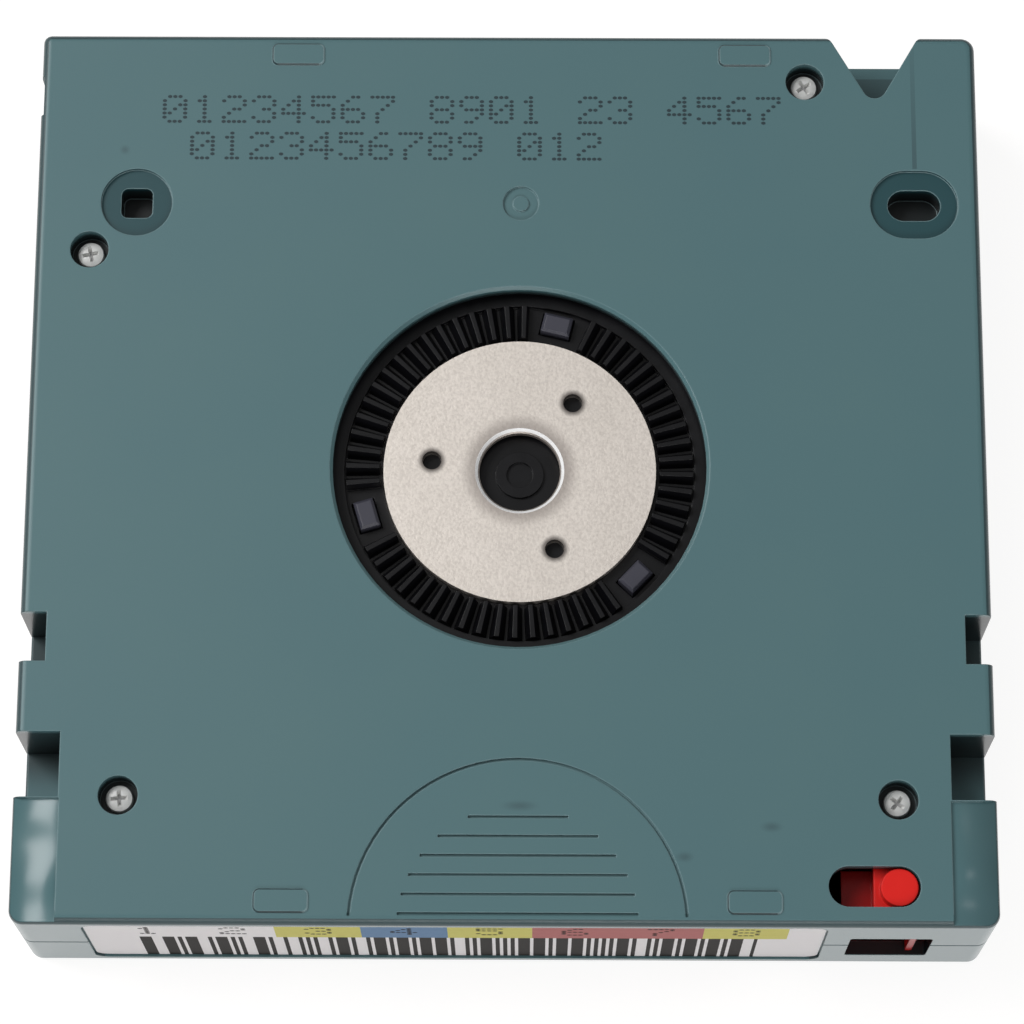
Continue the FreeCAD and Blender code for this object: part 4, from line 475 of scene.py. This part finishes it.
def drawn_steel(name, code, roughness):
    """Bright steel with the fine lines of drawing or grinding."""
    material, mm = start_material(name)
    line = add_node(material, "ShaderNodeTexNoise", {}, {
        "Vector": add_node(material, "ShaderNodeMapping", {}, {
            "Vector": mm, "Scale": (6.0, 6.0, 0.4)}).outputs["Vector"], "Scale": 1.0, "Detail": 2.0})
    rough = add_node(material, "ShaderNodeMapRange", {"clamp": True}, {
        "Value": line.outputs["Fac"], "To Min": roughness - 0.07, "To Max": roughness + 0.07})
    body = add_node(material, "ShaderNodeBsdfPrincipled", {}, {
        "Base Color": linear(code), "Metallic": 1.0, "Roughness": rough.outputs["Result"]})
    return finish_material(material, body)


# edges that bend by less than this, in radians, are shaded smooth
SMOOTH_BELOW = 0.6


def make_piece(name, mesh, materials, body):
    """Turn a mesh in millimetres into an object that rides on a body."""
    bmesh.ops.scale(mesh, vec=(0.001, 0.001, 0.001), verts=mesh.verts)
    data = bpy.data.meshes.new(name)
    for face in mesh.faces:
        face.smooth = True
    for edge in mesh.edges:
        edge.smooth = len(edge.link_faces) == 2 and edge.calc_face_angle(0.0) < SMOOTH_BELOW
    mesh.to_mesh(data)
    mesh.free()
    for material in materials:
        data.materials.append(material)
    piece = bpy.data.objects.new(name, data)
    bpy.context.scene.collection.objects.link(piece)
    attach(piece, body)
    return piece


def wound_spring(node):
    """A CAD spring remade as drawn wire: its mesh is welded, scaled to millimetres and made a new piece on
    the case's body, and the CAD piece is hidden."""
    coils = bmesh.new()
    coils.from_mesh(nodes[node].data)
    bmesh.ops.remove_doubles(coils, verts=coils.verts, dist=1e-6)
    bmesh.ops.recalc_face_normals(coils, faces=coils.faces)
    bmesh.ops.scale(coils, vec=(1000.0, 1000.0, 1000.0), verts=coils.verts)
    piece = make_piece(node + "_wound", coils, [spring_steel], "case")
    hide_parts(node)
    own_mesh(piece)


spring_steel = drawn_steel("spring_steel_drawn", "#b9b6b2", 0.3)
paint("brake_spring", spring_steel)
wound_spring("brake_spring")

# ---------------------------------------------------------------- leader pin
# The drive takes the tape by this ground steel pin, and a black nylon clip holds the tape on it.
# A bent strip of spring steel keeps the pin in its seats behind the door.

paint("leader_pin", drawn_steel("stainless_steel_ground", "#d0d0d0", 0.2))
paint("leader_pin_spring", spring_steel)
paint("leader_pin_clip", moulded_black("nylon_moulded_black", "#141417", "#1d1d21", 0.45))

# ---------------------------------------------------------------- door
# A thin plate of the case's ABS in a darker teal, sliding in the shells' tracks.
# A spring of drawn steel wire holds it shut and closes up as it opens.

paint("door", moulded_satin("abs_moulded_dark_teal", "#3c575c", "#405b60"))
paint("door_spring", spring_steel)
wound_spring("door_spring")

# ---------------------------------------------------------------- memory board
# Glass laminate with a green solder mask, and a drop of black resin over its chip.
# It stands on gussets inside the case, and a drive reads it without touching it.

paint("memory_board", moulded_satin("glass_laminate_green_mask", "#1d5a3a", "#226342"))
paint("memory_chip_cover", moulded_black("epoxy_resin_cast", "#08080a", "#101013", 0.22))

# ---------------------------------------------------------------- write protect slider
# Moulded in bright red ABS and left glossy by the mould. It slides in a slot in the rear corner,
# moved by its knob, to keep the tape from being written on.

SLIDER_PLATE_TOP, SLIDER_SHADE_END = 17.6, 19.5

slider_red, slider_mm = start_material("abs_moulded_red")
slider_flow = add_node(slider_red, "ShaderNodeTexNoise", {}, {
    "Vector": slider_mm, "Scale": 0.4, "Detail": 2.0})
slider_tone = add_node(slider_red, "ShaderNodeMix", {"data_type": "RGBA"}, {
    "Factor": slider_flow.outputs["Fac"], 6: linear("#dc1e18"), 7: linear("#e4241e")})
slider_place = add_node(slider_red, "ShaderNodeSeparateXYZ", {}, {"Vector": slider_mm})
# painted shade: the plate under the slot is mixed toward a darker red with depth
slider_painted_shade = add_node(slider_red, "ShaderNodeMapRange", {"clamp": True}, {
    "Value": slider_place.outputs["Z"], "From Min": SLIDER_PLATE_TOP, "From Max": SLIDER_SHADE_END,
    "To Min": 0.85, "To Max": 0.0})
slider_shaded = add_node(slider_red, "ShaderNodeMix", {"data_type": "RGBA"}, {
    "Factor": slider_painted_shade.outputs["Result"], 6: slider_tone.outputs[2], 7: linear("#9c0305")})
slider_soft = add_node(slider_red, "ShaderNodeBevel", {"samples": 4}, {"Radius": 0.00025})
finish_material(slider_red, add_node(slider_red, "ShaderNodeBsdfPrincipled", {}, {
    "Base Color": slider_shaded.outputs[2], "Roughness": 0.34, "Normal": slider_soft.outputs["Normal"],
    "IOR": 1.53, "Specular IOR Level": 0.3}))
paint("write_protect_slider", slider_red)

# ---------------------------------------------------------------- case screws
# Four zinc-plated steel screws with rolled threads and cross recesses.
# They are driven from the hub side and hold the two halves of the case together.

# each screw's X and Y, and the turn of its recess in degrees
SCREW_PLACES = ((-46.6, 25.0, 12.0), (33.4, 45.35, 33.0), (-41.4, -37.1, 5.0), (42.1, -37.3, 50.0))
SCREW_SEAT = 18.9
SCREW_HEAD_RADIUS = 1.5
SCREW_HEAD_HEIGHT = 1.05
SCREW_THREAD_RADIUS = 0.98
SCREW_CORE_RADIUS = 0.78
SCREW_PITCH = 0.8
SCREW_LENGTH = 15.4
SCREW_TIP_RADIUS = 0.35
SCREW_TIP_LENGTH = 0.8
SCREW_THREAD_START = 1.0
SCREW_NECK = 1.2
SCREW_STEPS = 28
CROWN_RADIUS = 0.93
CROWN_HEIGHT = SCREW_HEAD_HEIGHT * 0.95
RECESS_HALF = 0.22
RECESS_DEPTH = 0.7
RECESS_TAPER = 0.6

plated_zinc, zinc_mm = start_material("zinc_plated_steel")
zinc_cloud = add_node(plated_zinc, "ShaderNodeTexNoise", {}, {
    "Vector": zinc_mm, "Scale": 1.6, "Detail": 3.0})
finish_material(plated_zinc, add_node(plated_zinc, "ShaderNodeBsdfPrincipled", {}, {
    "Base Color": add_node(plated_zinc, "ShaderNodeMix", {"data_type": "RGBA"}, {
        "Factor": zinc_cloud.outputs["Fac"], 6: linear("#dededc"), 7: linear("#f6f6f4")}).outputs[2],
    "Metallic": 0.1, "Roughness": 0.36}))
# the cross recess is darker
recess_zinc, recess_mm = start_material("zinc_plated_steel_recess")
finish_material(recess_zinc, add_node(recess_zinc, "ShaderNodeBsdfPrincipled", {}, {
    "Base Color": add_node(recess_zinc, "ShaderNodeMix", {"data_type": "RGBA"}, {
        "Factor": add_node(recess_zinc, "ShaderNodeTexNoise", {}, {
            "Vector": recess_mm, "Scale": 3.0}).outputs["Fac"],
        6: linear("#98989b"), 7: linear("#d2d2d2")}).outputs[2],
    "Metallic": 0.2, "Roughness": 0.5}))


def spun(profile, steps):
    """A closed solid of revolution about Z from a profile of radius and height."""
    mesh = bmesh.new()
    points = [mesh.verts.new((radius, 0.0, height)) for radius, height in profile]
    edges = [mesh.edges.new(pair) for pair in zip(points, points[1:])]
    bmesh.ops.spin(mesh, geom=points + edges, cent=(0, 0, 0), axis=(0, 0, 1), dvec=(0, 0, 0),
                   angle=math.tau, steps=steps, use_merge=True, use_duplicate=False)
    bmesh.ops.remove_doubles(mesh, verts=mesh.verts, dist=1e-5)
    bmesh.ops.dissolve_degenerate(mesh, dist=1e-6, edges=mesh.edges)
    bmesh.ops.recalc_face_normals(mesh, faces=mesh.faces)
    return mesh


# tip, thread, neck and head, from the end of the shank up
profile = [(0.0, -SCREW_LENGTH), (SCREW_TIP_RADIUS, -SCREW_LENGTH),
           (SCREW_CORE_RADIUS, -SCREW_LENGTH + SCREW_TIP_LENGTH)]
height = -SCREW_LENGTH + SCREW_THREAD_START
while height < -SCREW_NECK:
    profile += [(SCREW_CORE_RADIUS, height), (SCREW_THREAD_RADIUS, height + SCREW_PITCH * 0.35),
                (SCREW_THREAD_RADIUS, height + SCREW_PITCH * 0.45)]
    height += SCREW_PITCH
profile += [(SCREW_CORE_RADIUS, height), (SCREW_CORE_RADIUS, 0.0), (SCREW_HEAD_RADIUS, 0.0),
            (SCREW_HEAD_RADIUS, SCREW_HEAD_HEIGHT * 0.5),
            (SCREW_HEAD_RADIUS * 0.93, SCREW_HEAD_HEIGHT * 0.78),
            (CROWN_RADIUS, CROWN_HEIGHT), (0.0, SCREW_HEAD_HEIGHT)]

for number, (screw_x, screw_y, turn) in enumerate(SCREW_PLACES, start=1):
    screw = spun(profile, SCREW_STEPS)
    # the cross: four cuts in the crown, and the strips between them pushed down and drawn in
    for normal in ((1, 0, 0), (0, 1, 0)):
        for side in (-RECESS_HALF, RECESS_HALF):
            crown = [face for face in screw.faces if face.calc_center_median().z > CROWN_HEIGHT]
            around = {item for face in crown for item in (*face.verts, *face.edges, face)}
            bmesh.ops.bisect_plane(screw, geom=list(around), plane_co=Vector(normal) * side,
                                   plane_no=normal, dist=1e-6)
    strips = []
    for face in screw.faces:
        middle = face.calc_center_median()
        if middle.z > CROWN_HEIGHT and min(abs(middle.x), abs(middle.y)) < RECESS_HALF:
            strips.append(face)
    sunk_strips = bmesh.ops.extrude_face_region(screw, geom=strips)["geom"]
    bmesh.ops.delete(screw, geom=strips, context="FACES_ONLY")
    floor_points = [item for item in sunk_strips if isinstance(item, bmesh.types.BMVert)]
    bmesh.ops.translate(screw, vec=(0, 0, -RECESS_DEPTH), verts=floor_points)
    bmesh.ops.scale(screw, vec=(RECESS_TAPER, RECESS_TAPER, 1.0), verts=floor_points)
    for item in sunk_strips:
        if isinstance(item, bmesh.types.BMFace):
            item.material_index = 1
    bmesh.ops.recalc_face_normals(screw, faces=screw.faces)
    bmesh.ops.rotate(screw, cent=(0, 0, 0), matrix=Matrix.Rotation(math.radians(turn), 3, "Z"),
                     verts=screw.verts)
    bmesh.ops.translate(screw, vec=(screw_x, screw_y, SCREW_SEAT), verts=screw.verts)
    piece = make_piece("case_screw_%d_plated" % number, screw, [plated_zinc, recess_zinc], "case")
    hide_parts("case_screw_%d" % number)

# ---------------------------------------------------------------- barcode label
# Coated paper with printed fields and bars, stuck in the shallow pocket of the rear wall.
# The bars are set at random and code nothing.

LABEL_LEFT, LABEL_RIGHT = -45.05, 34.45
LABEL_LOW, LABEL_HIGH = 1.85, 19.75
LABEL_BACK_Y = -50.6
LABEL_THICKNESS = 0.12
LABEL_CORNER = 1.45
# the fields stand in a strip above the bars, each given by its right edge and its paper
STRIP_LOW = 12.4
FIELDS = ((-24.65, "white"), (-15.4, "yellow"), (-6.1, "blue"), (3.0, "yellow"), (12.2, "red"),
          (21.4, "red"), (30.5, "yellow"), (LABEL_RIGHT, "white"))
BAR_LEFT, BAR_RIGHT = -39.5, 27.4
BAR_WIDTHS = (0.46, 1.3)
BAR_GAPS = (0.36, 0.36, 0.36, 0.36, 1.15)


def coated_paper(name, code, second_code, shine=0.5):
    """Coated label paper: flat, a little glossy, with a trace of fibre under the coat."""
    material, mm = start_material(name)
    fibre = add_node(material, "ShaderNodeTexNoise", {}, {
        "Vector": mm, "Scale": 1.4, "Detail": 5.0})
    tone = add_node(material, "ShaderNodeMix", {"data_type": "RGBA"}, {
        "Factor": fibre.outputs["Fac"], 6: linear(code), 7: linear(second_code)})
    body = add_node(material, "ShaderNodeBsdfPrincipled", {}, {
        "Base Color": tone.outputs[2], "Roughness": 0.5, "IOR": 1.45, "Specular IOR Level": shine})
    return finish_material(material, body)


papers = {
    "white": coated_paper("coated_paper_white", "#f8f4f5", "#fefafb", 1.0),
    "yellow": coated_paper("coated_paper_yellow", "#d4cc58", "#ded668", 0.3),
    "blue": coated_paper("coated_paper_blue", "#44739f", "#547fa8", 0.3),
    "red": coated_paper("coated_paper_red_brown", "#a84e4c", "#b65c58", 0.3),
    "ink": coated_paper("coated_paper_black_ink", "#1a1715", "#282320", 0.04),
}
paper_order = list(papers)

random.seed(11)
bars = []
bar_x = BAR_LEFT
while bar_x < BAR_RIGHT:
    wide = random.choice(BAR_WIDTHS)
    bars.append((bar_x, min(bar_x + wide, BAR_RIGHT)))
    bar_x += wide + random.choice(BAR_GAPS)

label = bmesh.new()
bmesh.ops.create_grid(label, x_segments=1, y_segments=1, size=0.5,
                      matrix=Matrix.Rotation(math.pi / 2, 4, "X"))
bmesh.ops.scale(label, vec=(LABEL_RIGHT - LABEL_LEFT, 1.0, LABEL_HIGH - LABEL_LOW), verts=label.verts)
bmesh.ops.translate(label, vec=((LABEL_LEFT + LABEL_RIGHT) / 2, LABEL_BACK_Y - LABEL_THICKNESS,
                                (LABEL_LOW + LABEL_HIGH) / 2), verts=label.verts)
bmesh.ops.bevel(label, geom=label.verts[:], offset=LABEL_CORNER, segments=6, profile=0.5,
                affect="VERTICES")
cuts = [((0, 0, STRIP_LOW), (0, 0, 1))]
cuts += [((x, 0, 0), (1, 0, 0)) for x, _ in FIELDS[:-1]]
cuts += [((x, 0, 0), (1, 0, 0)) for bar in bars for x in bar]
for point, normal in cuts:
    bmesh.ops.bisect_plane(label, geom=label.verts[:] + label.edges[:] + label.faces[:],
                           plane_co=point, plane_no=normal, dist=1e-6)
for face in label.faces:
    middle = face.calc_center_median()
    kind = "white"
    if middle.z > STRIP_LOW:
        kind = next(name for limit, name in FIELDS if middle.x < limit)
    elif any(a < middle.x < b for a, b in bars):
        kind = "ink"
    face.material_index = paper_order.index(kind)
bmesh.ops.recalc_face_normals(label, faces=label.faces)
outer = label.faces[:]
if outer[0].normal.y > 0:
    bmesh.ops.reverse_faces(label, faces=outer)
walls = bmesh.ops.extrude_face_region(label, geom=outer)
front_points = {item for item in walls["geom"] if isinstance(item, bmesh.types.BMVert)}
back_points = [point for point in label.verts if point not in front_points]
bmesh.ops.translate(label, vec=(0, LABEL_THICKNESS * 0.999, 0), verts=back_points)
bmesh.ops.recalc_face_normals(label, faces=label.faces)
label_piece = make_piece("printed_label", label, [papers[key] for key in paper_order], "case")
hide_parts("barcode_label")

# ---------------------------------------------------------------- dot marks
# Plain counting figures in dots, laid on the hub side and the label by a marking machine:
# flat dots of dark ink, in two rows on the case and one to a field on the label.

FIGURES = ("01110 10001 10011 10101 11001 10001 01110", "00100 01100 00100 00100 00100 00100 01110",
           "01110 10001 00001 00110 01000 10000 11111", "01110 10001 00001 00110 00001 10001 01110",
           "00010 00110 01010 10010 11111 00010 00010", "11111 10000 11110 00001 00001 10001 01110",
           "00110 01000 10000 11110 10001 10001 01110", "11111 00001 00010 00100 01000 01000 01000",
           "01110 10001 10001 01110 10001 10001 01110", "01110 10001 10001 01111 00001 00010 01100")
DOT_HEIGHT = 0.012
DOT_STRETCH = 1.35
CASE_DOTS = {"pitch": 3.34, "across": 0.58, "upward": 0.5, "radius": 0.2}
LABEL_DOTS = {"pitch": 9.2, "across": 0.6, "upward": 0.56, "radius": 0.22}

dot_ink = coated_paper("matt_ink_dark_grey", "#23343a", "#2c3d42")


def dot_row(mesh, text, left, base, pitch, across, upward, radius):
    """Add a row of figures made of hexagonal dots in the XY plane.

    left and base place the lowest left dot of the first figure; across and upward are the steps from
    dot to dot. The dots are drawn out along the row, as a moving marking head leaves them."""
    for place, figure in enumerate(text):
        if figure == " ":
            continue
        for line, dots in enumerate(FIGURES[int(figure)].split()):
            for column, dot in enumerate(dots):
                if dot == "1":
                    spot = Matrix.Translation((left + place * pitch + column * across,
                                               base + (6 - line) * upward, 0))
                    drawn_out = spot @ Matrix.Diagonal((DOT_STRETCH, 1, 1, 1))
                    bmesh.ops.create_cone(mesh, cap_ends=True, segments=6, radius1=radius,
                                          radius2=radius, depth=2 * DOT_HEIGHT, matrix=drawn_out)


case_marks = bmesh.new()
dot_row(case_marks, "01234567 8901 23 4567", left=-38.7, base=40.35, **CASE_DOTS)
dot_row(case_marks, "0123456789 012", left=-35.5, base=35.95, **CASE_DOTS)
bmesh.ops.translate(case_marks, vec=(0, 0, CASE_FACE), verts=case_marks.verts)
make_piece("case_dot_marks", case_marks, [dot_ink], "case")

label_marks = bmesh.new()
dot_row(label_marks, "12345678", left=-39.6, base=14.3, **LABEL_DOTS)
bmesh.ops.rotate(label_marks, cent=(0, 0, 0), matrix=Matrix.Rotation(math.pi / 2, 3, "X"),
                 verts=label_marks.verts)
bmesh.ops.translate(label_marks, vec=(0, LABEL_BACK_Y - LABEL_THICKNESS, 0), verts=label_marks.verts)
make_piece("label_dot_marks", label_marks, [papers["ink"]], "case")

# ---------------------------------------------------------------- table, light and camera
# A plain white table under soft studio light, on which the case lies with its hub side up.
# The camera looks down on it from over the label.

TABLE_HALF_SIDE = 3.0
TABLE_DROP = 0.0001
TABLE_GLOW = 0.86
CAMERA_PLACE = (0.002514, -0.129453, 0.438710)
CAMERA_LENS = 140.14

table = bpy.data.objects.new("table", bpy.data.meshes.new("table"))
table_mesh = bmesh.new()
bmesh.ops.create_grid(table_mesh, x_segments=2, y_segments=2, size=TABLE_HALF_SIDE)
# a hair under the case, so that the two faces don't coincide
bmesh.ops.translate(table_mesh, vec=(0, 0, -TABLE_DROP), verts=table_mesh.verts)
table_mesh.to_mesh(table.data)
table_mesh.free()
bpy.context.scene.collection.objects.link(table)

# the table glows to the eye and in reflections, but casts no light of its own on the case
white_table, _ = start_material("white_table")
path = add_node(white_table, "ShaderNodeLightPath", {}, {})
seen = add_node(white_table, "ShaderNodeMath", {"operation": "ADD", "use_clamp": True}, {
    0: path.outputs["Is Camera Ray"], 1: path.outputs["Is Glossy Ray"]})
seen_at_all = add_node(white_table, "ShaderNodeMath", {"operation": "ADD", "use_clamp": True}, {
    0: seen.outputs[0], 1: path.outputs["Is Transmission Ray"]})
strength = add_node(white_table, "ShaderNodeMath", {"operation": "MULTIPLY"}, {
    0: seen_at_all.outputs[0], 1: TABLE_GLOW})
glow = add_node(white_table, "ShaderNodeEmission", {}, {
    "Color": linear("#ffffff"), "Strength": strength.outputs[0]})
matt = add_node(white_table, "ShaderNodeBsdfDiffuse", {}, {"Color": linear("#8a8785")})
finish_material(white_table, add_node(white_table, "ShaderNodeAddShader", {}, {
    0: glow.outputs[0], 1: matt.outputs[0]}))
table.data.materials.append(white_table)

world = bpy.data.worlds.new("studio")
bpy.context.scene.world = world
world.use_nodes = True
world.node_tree.nodes.clear()
sky = add_node(world, "ShaderNodeTexCoord", {}, {})
sky_split = add_node(world, "ShaderNodeSeparateXYZ", {}, {"Vector": sky.outputs["Generated"]})
# a plain room, greyer near the horizon and lighter overhead, which the camera sees as white
overhead = add_node(world, "ShaderNodeMapRange", {"clamp": True, "interpolation_type": "SMOOTHSTEP"}, {
    "Value": sky_split.outputs["Z"], "From Min": 0.0, "From Max": 0.6, "To Min": 0.2, "To Max": 0.27})
sky_seen = add_node(world, "ShaderNodeLightPath", {}, {})
room_light = add_node(world, "ShaderNodeMath", {"operation": "MAXIMUM"}, {
    0: sky_seen.outputs["Is Camera Ray"], 1: overhead.outputs["Result"]})
dome = add_node(world, "ShaderNodeBackground", {}, {
    "Color": linear("#ffffff"), "Strength": room_light.outputs[0]})
add_node(world, "ShaderNodeOutputWorld", {}, {"Surface": dome.outputs[0]})


def soft_box(name, place, size, power):
    """A rectangular lamp that faces the case, its place and size in metres and its power in watts."""
    lamp = bpy.data.lights.new(name, "AREA")
    lamp.shape = "RECTANGLE"
    lamp.size, lamp.size_y = size
    lamp.energy = power
    holder = bpy.data.objects.new(name, lamp)
    holder.location = place
    holder.rotation_euler = (-Vector(place)).to_track_quat("-Z", "Y").to_euler()
    bpy.context.scene.collection.objects.link(holder)


soft_box("key_softbox", (-0.8, 0.35, 0.95), (0.7, 0.7), 11.0)
soft_box("front_softbox", (0.15, -1.0, 0.6), (0.9, 0.4), 5.0)
soft_box("corner_strip", (-0.17, 0.145, 0.95), (0.05, 0.1), 0.06)
soft_box("right_strip", (0.8, 0.1, 0.95), (0.08, 0.3), 0.3)

camera = bpy.data.cameras.new("camera")
camera.sensor_width = 36.0
camera.lens = CAMERA_LENS
camera.clip_start = 0.01
camera_holder = bpy.data.objects.new("camera", camera)
bpy.context.scene.collection.objects.link(camera_holder)
elevation, azimuth, roll = math.radians(73.434), math.radians(0.867), math.radians(-0.62)
back = Vector((math.sin(azimuth) * math.cos(elevation), -math.cos(azimuth) * math.cos(elevation),
               math.sin(elevation)))
right = Vector((math.cos(azimuth), math.sin(azimuth), 0.0))
up = back.cross(right)
leaned_right = right * math.cos(roll) + up * math.sin(roll)
leaned_up = up * math.cos(roll) - right * math.sin(roll)
camera_holder.matrix_world = Matrix.Translation(CAMERA_PLACE) @ Matrix((
    leaned_right, leaned_up, back)).transposed().to_4x4()
bpy.context.scene.camera = camera_holder
bpy.context.scene.view_settings.view_transform = "Standard"
